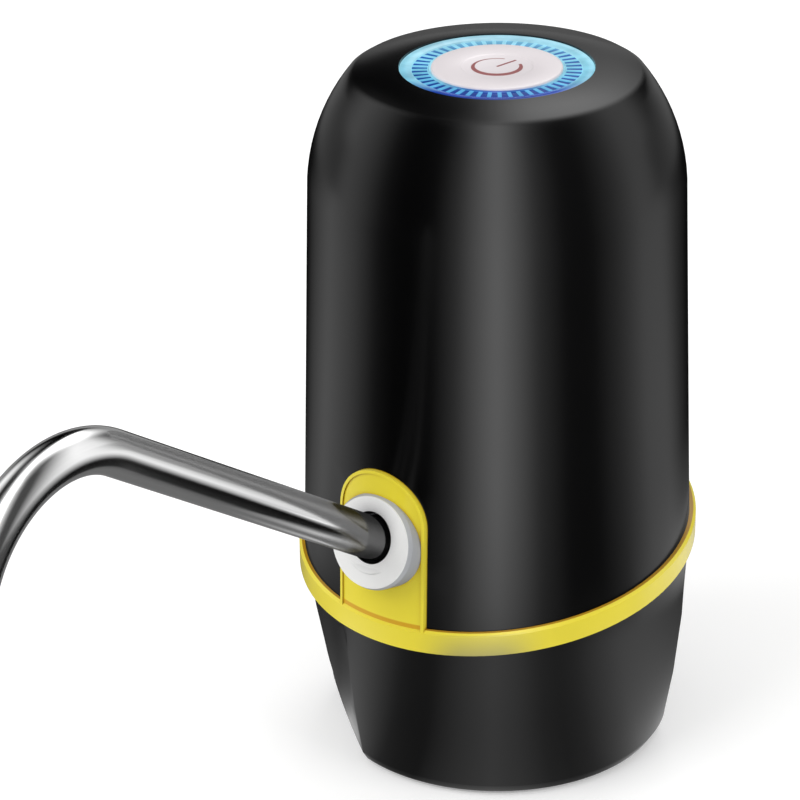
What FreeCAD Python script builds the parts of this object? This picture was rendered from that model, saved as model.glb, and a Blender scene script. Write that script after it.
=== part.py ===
import FreeCAD, Part
import Sketcher
import math
import os
import re

# Rechargeable pump that stands on the neck of a large water bottle. A slanted trim ring parts the casing
# from the base, and its tongue carries the socket of a bent steel spout. Inside, a chassis holds the cell,
# the charging board and a small motor over a gear pump. A lit ring and a push cap close the top.
#
# Frame: millimetres, +Z up, origin at the centre of the base's rim, where the bottle neck enters.
# The spout points to -Y and the charging socket to +Y.

SIZES = {
    # Casing, as a round housing that tapers a little to a rounded shoulder and a flat crown
    "pump_height": 134.0,
    "casing_radius": 37.0,
    "casing_draft": 2.2,
    "shoulder_drop": 21.0,
    "shoulder_run": 8.8,
    "casing_wall": 2.0,
    "bore_height_share": 0.8,
    "crown_wall": 2.2,
    "seam_clearance": 0.1,
    "rebate_gap": 0.6,
    # Trim ring, whose plane is lowest under the spout, and its tongue
    "ring_level": 40.4,
    "ring_slope": 8.5,
    "ring_height": 4.4,
    "ring_proud": 1.1,
    "ring_chamfer": 0.5,
    "tongue_half_width": 9.65,
    "tongue_arch_rise": 4.2,
    "tongue_proud": 0.6,
    "tongue_lip": 0.6,
    "tongue_lip_proud": 0.3,
    "boss_wall": 1.5,
    # Base, which sits over the bottle neck
    "base_step": 0.15,
    "base_draw": 4.05,
    "rim_wall": 5.0,
    "base_rim_round": 2.4,
    "grip_half_angle": 26.0,
    "grip_azimuth": 49.0,
    "grip_crown": 0.03,
    "neck_depth": 24.0,
    "neck_lead_in": 0.8,
    "deck_thickness": 2.8,
    "spigot_wall": 1.7,
    "spigot_height": 2.8,
    # Spout, a steel tube that rises from the tongue and bends down
    "spout_rise": 33.4,
    "spout_radius": 4.0,
    "spout_wall": 0.6,
    "spout_reach": 83.2,
    "spout_bend": 22.9,
    "spout_turn": 115.0,
    "spout_outlet": 20.0,
    "spout_depth": 16.0,
    "spout_running": 0.04,
    # Socket and seal that hold the spout, and the white collar over them
    "socket_wall": 1.0,
    "socket_gap": 0.05,
    "socket_length": 18.0,
    "socket_flange": 1.8,
    "socket_seat_depth": 9.0,
    "nose_depth": 1.0,
    "seal_wall": 1.4,
    "seal_gap": 0.1,
    "collar_tilt": 15.0,
    "collar_gap": 0.1,
    "collar_bevel": 0.45,
    "collar_chamfer": 1.0,
    "collar_height": 2.8,
    "collar_bore_gap": 0.6,
    "collar_spigot": 1.2,
    # Pressure hose and the nozzles at its ends
    "hose_radius": 3.1,
    "hose_bore": 2.0,
    "hose_gap": 0.2,
    "nozzle_bore": 1.2,
    "nozzle_grip": 3.8,
    # Intake nipple through the deck
    "nipple_radius": 4.0,
    "nipple_bore": 2.4,
    "nipple_drop": 14.0,
    "nipple_collar_radius": 5.0,
    "nipple_flange_radius": 7.0,
    "nipple_flange": 1.6,
    # Chassis, a plate on four legs with the cell's cradle and the charging board's posts
    "chassis_plate": 2.6,
    "chassis_half_depth": 12.6,
    "leg_half_width": 3.6,
    "cradle_wall": 1.0,
    "cradle_gap": 0.75,
    "cradle_height": 12.0,
    "cell_lift": 7.5,
    "tail_margin": 1.3,
    "post_height": 13.4,
    "post_radius": 2.2,
    "post_across": 5.4,
    "post_inset": 3.7,
    # Gear pump
    "gear_module": 0.8,
    "gear_teeth": 10,
    "gear_pressure_angle": 27.0,
    "gear_width": 6.0,
    "gear_backlash": 0.06,
    "gear_root": 1.25,
    "gear_flank_share": 1.15,
    "gear_side_gap": 0.03,
    "chamber_gap": 0.06,
    "pump_half_width": 10.9,
    "pump_half_depth": 7.6,
    "pump_floor": 2.4,
    "cover_thickness": 4.4,
    "block_round": 2.0,
    "port_radius": 1.8,
    "port_offset": 3.4,
    "inlet_recess_radius": 5.2,
    "inlet_recess": 0.8,
    "pin_seat": 1.2,
    "shaft_radius": 1.15,
    "bearing_gap": 0.05,
    "outlet_height": 3.0,
    "shaft_seal_radius": 2.6,
    "shaft_seal_length": 1.6,
    "shaft_seal_gap": 0.02,
    # Motor
    "motor_radius": 12.1,
    "motor_length": 27.0,
    "motor_skin": 0.8,
    "motor_boss_radius": 5.0,
    "motor_boss": 1.6,
    "end_boss_radius": 3.0,
    "shaft_end": 0.6,
    "magnet_thickness": 2.0,
    "magnet_half_angle": 60.0,
    "magnet_length": 18.0,
    "magnet_lift": 0.6,
    "air_gap": 0.5,
    "rotor_poles": 3,
    "rotor_length": 15.0,
    "rotor_lift": 3.0,
    "rotor_hub_radius": 3.2,
    "rotor_arm": 2.6,
    "rotor_shoe": 1.4,
    "shoe_half_angle": 48.0,
    "commutator_radius": 2.6,
    "commutator_length": 4.0,
    "commutator_gap": 0.4,
    "end_cap_depth": 3.0,
    "end_cap_flange": 1.5,
    "terminal_width": 2.6,
    "terminal_height": 4.0,
    "terminal_thickness": 0.5,
    "terminal_offset": 7.5,
    "brush_width": 2.4,
    "brush_length": 4.0,
    # Cell
    "cell_radius": 9.2,
    "cell_clearance": 0.25,
    "tab_thickness": 0.3,
    "tab_width": 6.0,
    "tab_offset": 6.0,
    "pad_thickness": 7.1,
    "pad_half_width": 6.0,
    "pad_length": 8.4,
    # Boards
    "board_thickness": 1.6,
    "control_board_inset": 2.0,
    "control_board_drop": 8.3,
    "standoff_count": 3,
    "standoff_inset": 2.0,
    "standoff_radius": 2.2,
    "standoff_floor": 1.0,
    "led_count": 8,
    "led_length": 3.2,
    "led_width": 2.6,
    "led_height": 1.8,
    "switch_side": 6.0,
    "switch_height": 3.1,
    "plunger_radius": 1.6,
    "plunger_proud": 0.7,
    "plunger_depth": 1.6,
    "plunger_well": 2.5,
    "charge_board_half_width": 8.6,
    "charge_board_gap": 2.3,
    # Lit ring and push cap
    "light_ring_width": 5.6,
    "light_ring_gap": 0.4,
    "light_ring_flange": 1.7,
    "light_ring_flange_thickness": 1.5,
    "light_ring_inset": 0.15,
    "cap_running": 0.1,
    "cap_thickness": 1.8,
    "cap_wall": 1.4,
    "cap_flange": 1.1,
    "cap_flange_thickness": 1.1,
    "cap_stem_radius": 2.2,
    # Charging socket
    "usb_half_width": 4.47,
    "usb_height": 3.26,
    "usb_corner": 1.2,
    "usb_length": 7.35,
    "usb_overhang": 2.45,
    "usb_skin": 0.3,
    "usb_tongue_half_width": 3.35,
    "usb_tongue_thickness": 0.7,
    "usb_tongue_inset": 0.8,
    "usb_inset": 0.5,
    "usb_window_gap": 0.4,
    "usb_recess_gap": 1.8,
    "usb_recess_depth": 0.9,
    # Screws
    "screw_radius": 1.1,
    "screw_head_radius": 2.2,
    "screw_head": 1.4,
    "screw_play": 0.15,
    "screw_end_gap": 0.3,
    "pump_screw_grip": 1.3,
    "charge_screw_grip": 5.4,
    "case_screw_inset": 9.7,
    "case_screw_length": 8.0,
    "pillar_radius": 3.2,
    "pillar_height": 32.0,
    "pillar_web": 1.6,
    "web_lift": 1.0,
    # Leads
    "lead_thickness": 1.3,
    "lead_width": 2.6,
    "lead_bend": 12.0,
    "motor_lead_shift": 4.0,
    "cell_lead_shift": 1.5,
    "strip_lead_shift": 0.4,
    "charge_lead_shift": 3.0,
    "charge_lead_inset": 2.0,
}

# Places that several pieces share
TAPER = "((casing_radius - shoulder_radius) / (pump_height - shoulder_drop - ring_level))"
SPOUT_ENTRY = f"(casing_radius - (spout_level - ring_level) * {TAPER} + tongue_proud)"
SLOPE = "tan(ring_slope)"
DECK_TOP = "(neck_depth + deck_thickness)"
RING_BORE = "(casing_radius - casing_wall)"
REBATE_TOP = f"(ring_level + ring_height / 2 + spigot_height + casing_radius * {SLOPE} + rebate_gap)"
BASE_SHOULDER = "(ring_level - ring_height / 2)"
GEAR_SPACING = "(gear_module * gear_teeth + gear_backlash)"
MOTOR_X = f"(-{GEAR_SPACING} / 2)"
PUMP_FLOOR = f"({DECK_TOP} + nipple_flange)"
CHAMBER_FLOOR = f"({PUMP_FLOOR} + pump_floor)"
PUMP_TOP = f"({CHAMBER_FLOOR} + gear_width + 2 * gear_side_gap)"
COVER_TOP = f"({PUMP_TOP} + cover_thickness)"
CHASSIS_TOP = f"({COVER_TOP} + chassis_plate)"
CAN_TOP = f"({CHASSIS_TOP} + motor_length)"
MOTOR_TOP = f"({CAN_TOP} + end_cap_flange)"
CELL_FLOOR = f"({CHASSIS_TOP} + cell_lift + tab_thickness)"
BOARD_TOP = "(pump_height - control_board_drop)"
BOARD_UNDER = f"({BOARD_TOP} - board_thickness)"
CELL_TOP = f"({BOARD_UNDER} - pad_thickness - tab_thickness)"
SWITCH_TOP = f"({BOARD_TOP} + switch_height)"
CROWN_INSIDE = "(pump_height - crown_wall)"
RING_UNDER = f"({CROWN_INSIDE} - light_ring_flange_thickness)"
CHARGE_BOARD_TOP = f"({CHASSIS_TOP} + post_height + board_thickness)"
USB_MIDDLE = f"({CHARGE_BOARD_TOP} + usb_height / 2)"
USB_FRONT = f"(casing_radius - casing_wall - ({USB_MIDDLE} - ring_level) * {TAPER} - usb_inset)"

# Reach of the cutting outlines past the object
MARGIN = 10
EDGE = f"(casing_radius + {MARGIN})"

# Sizes that fit one piece to the next
FITTED = {
    "shoulder_radius": "casing_radius - casing_draft",
    "crown_radius": "shoulder_radius - shoulder_run",
    "base_top_radius": "casing_radius - base_step",
    "base_rim_radius": "base_top_radius - base_draw",
    "neck_radius": "base_rim_radius - rim_wall",
    "base_cavity_radius": f"{RING_BORE} - seam_clearance - spigot_wall",
    "case_screw_circle": "base_cavity_radius - case_screw_inset",
    "spout_level": f"{CHAMBER_FLOOR} + outlet_height + (casing_radius - pump_half_depth) * tan(spout_rise)",
    "seal_radius": "spout_radius + seal_wall",
    "socket_radius": "seal_radius + socket_wall",
    "socket_flange_radius": "socket_radius + boss_wall",
    "collar_rear_radius": "tongue_half_width - tongue_lip - collar_gap",
    "collar_face_radius": "collar_rear_radius - collar_bevel",
    "hose_reach": f"({SPOUT_ENTRY} - pump_half_depth) / cos(spout_rise) - hose_radius * tan(spout_rise)"
                  " - socket_length - hose_gap",
    "chassis_half_width": "case_screw_circle * cos(45) + leg_half_width",
    "pump_screw_across": "pump_half_width - screw_head_radius",
    "pump_screw_along": "pump_half_depth - screw_head_radius",
    "motor_screw_circle": "motor_radius - screw_head_radius",
    "cell_offset": "base_cavity_radius - cell_radius - cell_clearance - cradle_wall - cradle_gap",
    "tab_reach": f"(cell_offset + cell_radius - {MOTOR_X} - motor_radius) / 2",
    "control_board_radius": "crown_radius - control_board_inset",
    "standoff_circle": "control_board_radius - standoff_inset",
    "light_ring_radius": "standoff_circle - standoff_radius - light_ring_flange - light_ring_gap",
    "light_ring_bore": "light_ring_radius - light_ring_width",
    "led_circle": "(light_ring_radius + light_ring_bore) / 2",
    "charge_board_depth": f"{USB_FRONT} - usb_overhang - motor_radius - charge_board_gap",
    "post_along": "motor_radius + charge_board_gap + post_inset",
    "tail_half_width": "charge_board_half_width",
    "tail_reach": "post_along + post_radius + tail_margin",
}

QUARTERS = ((1, 1), (-1, 1), (-1, -1), (1, -1))
CASE_CORNERS = [(f"case_screw_circle * cos(45) * {x}", f"case_screw_circle * cos(45) * {y}") for x,
                y in QUARTERS]
PUMP_SCREWS = [(f"pump_screw_across * {x}", f"pump_screw_along * {y}") for x, y in (QUARTERS[0], QUARTERS[2])]
MOTOR_SCREWS = [(MOTOR_X, f"motor_screw_circle * {y}") for y in (1, -1)]
POSTS = [(f"post_across * {x}", "post_along") for x in (1, -1)]
STANDOFF_TURNS = [f"(90 + 360 / standoff_count * {number})" for number in range(SIZES["standoff_count"])]
STANDOFFS = [(f"standoff_circle * cos({turn})", f"standoff_circle * sin({turn})") for turn in STANDOFF_TURNS]

# Flats that a screw's plain round surface is drawn with
SCREW_SIDES = 12

doc = FreeCAD.newDocument("bottle_pump")
sheet = doc.addObject("Spreadsheet::Sheet", "Sizes")
for row, (alias, size) in enumerate(SIZES.items(), start=1):
    sheet.set(f"A{row}", alias.replace("_", " "))
    sheet.set(f"B{row}", str(size))
    sheet.setAlias(f"B{row}", alias)
doc.recompute()
pieces = []


def bound(text):
    """An expression with each size name written as its cell, and each fitted size worked out from cells."""
    def written(word):
        name = word.group()
        if name in FITTED:
            return f"({bound(FITTED[name])})"
        return f"Sizes.{name}" if name in SIZES else name

    return re.sub(r"[a-z_]+", written, text)


def value(text):
    return float(sheet.evalExpression(bound(text)))


def bind(item, **expressions):
    """Tie properties to sizes. A double underscore in a name stands for a dot."""
    for name, text in expressions.items():
        item.setExpression(name.replace("__", "."), bound(text))


# Sketches

def new_body(name):
    body = doc.addObject("PartDesign::Body", name)
    body.Label = name
    return body


def new_sketch(body, plane, lift=None):
    """Empty sketch on one of the body's own origin planes, raised along the plane's normal by lift."""
    support = next(item for item in body.Origin.OriginFeatures if item.Role == plane + "_Plane")
    sketch = body.newObject("Sketcher::SketchObject", body.Name + "_sketch")
    sketch.AttachmentSupport = [(support, "")]
    sketch.MapMode = "FlatFace"
    if lift:
        bind(sketch, AttachmentOffset__Base__z=lift)
    doc.recompute()
    return sketch


def constrain(sketch, text, *constraint):
    number = sketch.addConstraint(Sketcher.Constraint(*constraint, value(text)))
    sketch.setExpression(f"Constraints[{number}]", bound(text))


def fix_point(sketch, geometry, point, x, y):
    constrain(sketch, x, "DistanceX", -1, 1, geometry, point)
    constrain(sketch, y, "DistanceY", -1, 1, geometry, point)


def minor_arc(start, end, radius, left):
    """The short arc from start to end that turns left or right."""
    chord = end - start
    square = max(radius ** 2 - chord.Length ** 2 / 4, 0)
    side = FreeCAD.Vector(-chord.y, chord.x, 0).normalize() * math.sqrt(square)
    centre = (start + end) / 2 + (side if left else -side)
    first, last = (start, end) if left else (end, start)
    angles = [math.atan2(place.y - centre.y, place.x - centre.x) for place in (first, last)]
    return Part.ArcOfCircle(Part.Circle(centre, FreeCAD.Vector(0, 0, 1), radius), *angles)


def draw_path(sketch, corners, closed=True):
    """Lines through the corners (x, y). After a corner (x, y, "left" or "right", radius) comes an arc."""
    places = [FreeCAD.Vector(value(corner[0]), value(corner[1]), 0) for corner in corners]
    ends = []
    for number, corner in enumerate(corners if closed else corners[:-1]):
        start = places[number]
        end = places[(number + 1) % len(corners)]
        if len(corner) == 2:
            geometry = sketch.addGeometry(Part.LineSegment(start, end), False)
            ends.append((geometry, 1, 2))
        else:
            left = corner[2] == "left"
            geometry = sketch.addGeometry(minor_arc(start, end, value(corner[3]), left), False)
            constrain(sketch, corner[3], "Radius", geometry)
            ends.append((geometry, 1, 2) if left else (geometry, 2, 1))
        fix_point(sketch, geometry, ends[-1][1], corner[0], corner[1])
    for (geometry, first, last), (following, start, _) in zip(ends, ends[1:] + ends[:1]):
        if closed or following != ends[0][0]:
            sketch.addConstraint(Sketcher.Constraint("Coincident", geometry, last, following, start))
    if not closed:
        fix_point(sketch, ends[-1][0], ends[-1][2], corners[-1][0], corners[-1][1])
    return sketch


def draw_circle(sketch, radius, x="0", y="0"):
    centre = FreeCAD.Vector(value(x), value(y), 0)
    circle = Part.Circle(centre, FreeCAD.Vector(0, 0, 1), value(radius))
    geometry = sketch.addGeometry(circle, False)
    fix_point(sketch, geometry, 3, x, y)
    constrain(sketch, radius, "Radius", geometry)
    return sketch


def rectangle(left, low, right, high):
    return [(left, low), (right, low), (right, high), (left, high)]


def rounded_rectangle(half_width, low, high, radius):
    """Corners of a rectangle about the vertical axis with rounded corners."""
    inside = f"({half_width} - {radius})"
    return [
        (f"-{inside}", low), (inside, low, "left", radius),
        (half_width, f"{low} + {radius}"), (half_width, f"{high} - {radius}", "left", radius),
        (inside, high), (f"-{inside}", high, "left", radius),
        (f"-{half_width}", f"{high} - {radius}"), (f"-{half_width}", f"{low} + {radius}", "left", radius),
    ]


# Features

def add_feature(body, kind, sketch, **expressions):
    feature = body.newObject("PartDesign::" + kind, f"{body.Name}_{kind.lower()}")
    feature.Profile = sketch
    bind(feature, **expressions)
    return feature


def pad(body, sketch, length, symmetric=False, reverse=False):
    feature = add_feature(body, "Pad", sketch, Length=length)
    feature.SideType = "Symmetric" if symmetric else "One side"
    feature.Reversed = reverse
    doc.recompute()
    return feature


def cut_checked(body, feature, before):
    doc.recompute()
    if not body.Shape.Volume < before - 1e-6:
        raise RuntimeError(f"{feature.Name} cuts nothing")
    return feature


def pocket(body, sketch, length=None, symmetric=False, reverse=False):
    """Cut against the sketch's normal, or along it if reversed. With no length it goes right through."""
    before = body.Shape.Volume
    feature = add_feature(body, "Pocket", sketch)
    if length:
        bind(feature, Length=length)
    else:
        feature.Type = "ThroughAll"
    feature.SideType = "Symmetric" if symmetric else "One side"
    feature.Reversed = reverse
    return cut_checked(body, feature, before)


def revolve(body, sketch, axis="V_Axis"):
    feature = add_feature(body, "Revolution", sketch)
    feature.ReferenceAxis = (sketch, [axis])
    doc.recompute()
    return feature


def groove(body, sketch, axis="V_Axis"):
    before = body.Shape.Volume
    feature = add_feature(body, "Groove", sketch)
    feature.ReferenceAxis = (sketch, [axis])
    return cut_checked(body, feature, before)


def repeat_round(body, features, count):
    pattern = body.newObject("PartDesign::PolarPattern", body.Name + "_pattern")
    pattern.Originals = features
    sketch = features[0].Profile[0]
    pattern.Axis = (sketch, ["N_Axis"])
    pattern.Angle = 360
    bind(pattern, Occurrences=count)
    body.Tip = pattern
    doc.recompute()
    return pattern


def edges_where(shape, test):
    """Names of the edges whose sampled points all pass the test."""
    names = []
    for number, edge in enumerate(shape.Edges, start=1):
        if all(test(place) for place in edge.discretize(7)):
            names.append(f"Edge{number}")
    return names


def dress_edges(body, kind, test, **expressions):
    """Fillet or chamfer the edges that pass the test."""
    base = body.Tip
    feature = body.newObject("PartDesign::" + kind, f"{body.Name}_{kind.lower()}")
    feature.Base = (base, edges_where(base.Shape, test))
    bind(feature, **expressions)
    doc.recompute()
    return feature


def turned(name, corners, plane="XZ"):
    """Body turned about its own vertical axis from one closed outline."""
    body = new_body(name)
    revolve(body, draw_path(new_sketch(body, plane), corners))
    return body


def place(item, x="0", y="0", z="0", tilt=None, turn=None):
    """Move a piece, and lean it about X by tilt or turn it about Z."""
    if tilt or turn:
        axis = FreeCAD.Vector(1, 0, 0) if tilt else FreeCAD.Vector(0, 0, 1)
        item.Placement = FreeCAD.Placement(FreeCAD.Vector(), FreeCAD.Rotation(axis, 1))
        bind(item, Placement__Rotation__Angle=tilt or turn)
    bind(item, Placement__Base__x=x, Placement__Base__y=y, Placement__Base__z=z)
    doc.recompute()
    return item


def combine(kind, name, parts):
    result = doc.addObject("Part::" + kind, name)
    if kind in ("MultiFuse", "MultiCommon"):
        result.Shapes = parts
    elif kind == "Compound":
        result.Links = parts
    else:
        result.Base, result.Tool = parts
    result.Label = name
    doc.recompute()
    return result


def primitive(kind, name, **expressions):
    item = doc.addObject("Part::" + kind, name)
    bind(item, **expressions)
    doc.recompute()
    return item


def posts(name, radius, low, height, places):
    """Round posts or hole tools at several places."""
    items = []
    for number, (x, y) in enumerate(places, start=1):
        post = primitive("Cylinder", f"{name}_{number}", Radius=radius, Height=height)
        items.append(place(post, x, y, low))
    return items


def screws(name, places, head_level, length, upward=True):
    """Plain screws in one node. The head sits below the level, or above it if the screw points down."""
    items = []
    for number, (x, y) in enumerate(places, start=1):
        shank = primitive("Prism", f"{name}_shank_{number}", Circumradius="screw_radius", Height=length)
        head = primitive("Prism", f"{name}_head_{number}", Circumradius="screw_head_radius",
                         Height="screw_head")
        shank.Polygon = SCREW_SIDES
        head.Polygon = SCREW_SIDES
        place(shank, x, y, head_level if upward else f"{head_level} - ({length})")
        place(head, x, y, f"{head_level} - screw_head" if upward else head_level)
        items.append(combine("Fuse", f"{name}_{number}", (head, shank)))
    return keep(combine("Compound", name, items))


def keep(item):
    """Count a finished sub-part in."""
    pieces.append(item)
    return item


# Casing

def slanted(side, above, level):
    """Outline in the YZ plane of everything above or below the trim ring's plane, moved up by level."""
    front = f"(ring_level + {level} - {side} * {SLOPE})"
    back = f"(ring_level + {level} + {side} * {SLOPE})"
    far = f"pump_height + {MARGIN}" if above else f"-{MARGIN}"
    return [(f"-{side}", front), (side, back), (side, far), (f"-{side}", far)]


def casing_outline():
    """Half section of the casing's outside: tapered side, shoulder arc about the axis and flat crown."""
    drop = "(shoulder_radius * shoulder_radius - crown_radius * crown_radius + shoulder_drop * shoulder_drop)"
    middle = f"({drop} / (2 * shoulder_drop))"
    curve = f"sqrt(crown_radius * crown_radius + {middle} * {middle})"
    skirt = f"(casing_radius + ring_level * {TAPER})"
    return [
        ("0", "0"), (skirt, "0"), ("shoulder_radius", "pump_height - shoulder_drop", "left", curve),
        ("crown_radius", "pump_height"), ("0", "pump_height"),
    ]


def tongue_outline(inset, low):
    """Arch-topped tongue in the XZ plane, made smaller all round by inset."""
    half = f"(tongue_half_width - {inset})"
    middle = "(spout_level + tongue_arch_rise)"
    return [
        (f"-{half}", low), (half, low), (half, middle, "left", half),
        ("0", f"{middle} + {half}", "left", half), (f"-{half}", middle),
    ]


def body_shell():
    body = new_body("body_shell")
    revolve(body, draw_path(new_sketch(body, "XZ"), casing_outline()))
    pocket(body, draw_circle(new_sketch(body, "XY"), RING_BORE), REBATE_TOP, reverse=True)
    bore = "(shoulder_radius - casing_wall)"
    crown_bore = "(crown_radius - casing_wall / 2)"
    groove(body, draw_path(new_sketch(body, "XZ"), [
        ("0", "0"), (bore, "0"), (bore, "pump_height - shoulder_drop * bore_height_share"), (crown_bore,
                                                                                             CROWN_INSIDE),
        ("0", CROWN_INSIDE),
    ]))
    pocket(body, draw_circle(new_sketch(body, "XY", "pump_height"), "light_ring_radius + cap_running"),
           "crown_wall * 2")
    pocket(body, draw_path(new_sketch(body, "YZ"), slanted(EDGE, False, "ring_height / 2")), symmetric=True)
    notch = draw_path(new_sketch(body, "XZ"), tongue_outline("-seam_clearance", "0"))
    pocket(body, notch, reverse=True)

    # Charging window with a shallow recess round it
    def window(gap):
        low, high = f"({USB_MIDDLE} - usb_height / 2 - {gap})", f"({USB_MIDDLE} + usb_height / 2 + {gap})"
        return rounded_rectangle(f"(usb_half_width + {gap})", low, high, f"(usb_corner + {gap})")

    pocket(body, draw_path(new_sketch(body, "XZ"), window("usb_window_gap")))
    bottom = f"-(casing_radius - ({USB_MIDDLE} - ring_level) * {TAPER} - usb_recess_depth)"
    pocket(body, draw_path(new_sketch(body, "XZ", bottom), window("usb_recess_gap")))

    # Standoffs for the control board, under the crown
    standoff = pad(body,
                   draw_circle(new_sketch(body, "XY", BOARD_TOP), "standoff_radius", "0", "standoff_circle"),
                   f"{CROWN_INSIDE} - {BOARD_TOP} + crown_wall / 2")
    pilot = pocket(body,
                   draw_circle(new_sketch(body, "XY", BOARD_TOP), "screw_radius", "0", "standoff_circle"),
                   f"{CROWN_INSIDE} - {BOARD_TOP} - standoff_floor", reverse=True)
    repeat_round(body, [standoff, pilot], "standoff_count")

    # Screw pillars on webs
    across = "(case_screw_circle * cos(45))"
    pillar = pad(body, draw_circle(new_sketch(body, "XY", CHASSIS_TOP), "pillar_radius", across, across),
                 "pillar_height")
    outer = "((shoulder_radius - casing_wall / 3) * cos(45))"
    half = "(pillar_web / 2 * cos(45))"
    low = f"({REBATE_TOP} + web_lift)"
    web = pad(body, draw_path(new_sketch(body, "XY", low), [
        (f"{across} + {half}", f"{across} - {half}"), (f"{outer} + {half}", f"{outer} - {half}"),
        (f"{outer} - {half}", f"{outer} + {half}"), (f"{across} - {half}", f"{across} + {half}"),
    ]), f"{CHASSIS_TOP} + pillar_height - {low}")
    hole = pocket(body, draw_circle(new_sketch(body, "XY", CHASSIS_TOP), "screw_radius", across, across),
                  "case_screw_length", reverse=True)
    repeat_round(body, [pillar, web, hole], "4")
    return keep(body)


def tongue_cone(name):
    """Cone of the tongue's face, all the way round."""
    low = f"casing_radius + ring_level * {TAPER} + tongue_proud"
    high = f"casing_radius - (pump_height - ring_level) * {TAPER} + tongue_proud"
    return primitive("Cone", name, Radius1=low, Radius2=high, Height="pump_height")


def spout_point(depth):
    """Place on the spout's axis at a depth behind the tongue's face, as y and z."""
    return f"(({depth}) * cos(spout_rise) - {SPOUT_ENTRY})", f"(spout_level - ({depth}) * sin(spout_rise))"


def on_spout_axis(item, depth):
    """Set a piece on the spout's axis, at a depth behind the tongue's face, with Z along the spout."""
    return place(item, "0", *spout_point(depth), tilt="90 - spout_rise")


def trim_ring():
    """Slanted band, tongue with a raised lip, and the boss behind it that the spout's socket sits in."""
    band = new_body("trim_band")
    sketch = draw_circle(new_sketch(band, "XY"), "casing_radius + ring_proud")
    pad(band, draw_circle(sketch, RING_BORE), "pump_height / 2")
    pocket(band, draw_path(new_sketch(band, "YZ"), slanted(EDGE, True, "ring_height / 2")), symmetric=True)
    pocket(band, draw_path(new_sketch(band, "YZ"), slanted(EDGE, False, "-ring_height / 2")), symmetric=True)
    rim = value("casing_radius + ring_proud")
    top = value("ring_level + ring_height / 2")
    slope = value(SLOPE)

    def on_top_rim(place):
        return abs(place.z - top - slope * place.y) < 0.01 and abs(math.hypot(place.x, place.y) - rim) < 0.01

    dress_edges(band, "Chamfer", on_top_rim, Size="ring_chamfer")

    def plate(name, inset, proud, depth):
        """Tongue-shaped piece of the wall between the cavity and a face proud of the casing."""
        body = new_body(name)
        bottom = f"(ring_level - casing_radius * {SLOPE})"
        outline = draw_path(new_sketch(body, "XZ"), tongue_outline(inset, bottom))
        pad(body, outline, f"casing_radius + {MARGIN} / 2")
        low = f"(casing_radius + ring_level * {TAPER} + {proud})"
        high = f"(casing_radius - (pump_height - ring_level) * {TAPER} + {proud})"
        around = new_sketch(body, "YZ")
        groove(body,
               draw_path(around, [(low, "0"), (EDGE, "0"), (EDGE, "pump_height"), (high, "pump_height")]))
        inside = rectangle("0", "0", f"({RING_BORE} - {depth})", "pump_height")
        groove(body, draw_path(new_sketch(body, "YZ"), inside))
        return body

    tongue = plate("tongue_plate", "0", "tongue_proud", "0")
    lip = plate("tongue_lip", "0", "(tongue_proud + tongue_lip_proud)", "0")
    lip_window = plate("tongue_lip_window", "tongue_lip", "casing_wall", "casing_wall")
    lip = combine("Cut", "tongue_rim", (lip, lip_window))

    boss = primitive("Cylinder", "socket_boss", Radius="socket_radius + boss_wall + cap_running",
                     Height="socket_seat_depth + casing_radius")
    boss = on_spout_axis(boss, "socket_seat_depth")
    boss = combine("MultiCommon", "trimmed_boss", [boss, tongue_cone("tongue_face")])
    moulding = combine("MultiFuse", "trim_moulding", [band, tongue, lip, boss])
    bore = primitive("Cylinder", "socket_bore", Radius="socket_radius + socket_gap",
                     Height="casing_radius * 2")
    return keep(combine("Cut", "trim_ring", (moulding, on_spout_axis(bore, "casing_radius"))))


def base_section(body, height, inset):
    """Outline of the base at a height: round, with two grip sides that flatten towards the rim."""
    share = f"(1 - {height} / {BASE_SHOULDER})"
    radius = f"(base_top_radius - base_draw * {share} * {share} - {inset})"
    crown = f"({radius} * (1 - cos(grip_half_angle)) * (1 - {share} * (1 - grip_crown)))"
    half = f"({radius} * sin(grip_half_angle))"
    grip = f"(({half} * {half} + {crown} * {crown}) / (2 * {crown}))"
    near = f"({radius} * cos(grip_half_angle))"
    return draw_path(new_sketch(body, "XY", height), [
        (near, f"-{half}", "left", grip), (near, half, "left", radius), ("0", radius, "left", radius),
        (f"-{near}", half, "left", grip), (f"-{near}", f"-{half}", "left", radius),
        ("0", f"-{radius}", "left", radius),
    ])


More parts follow.
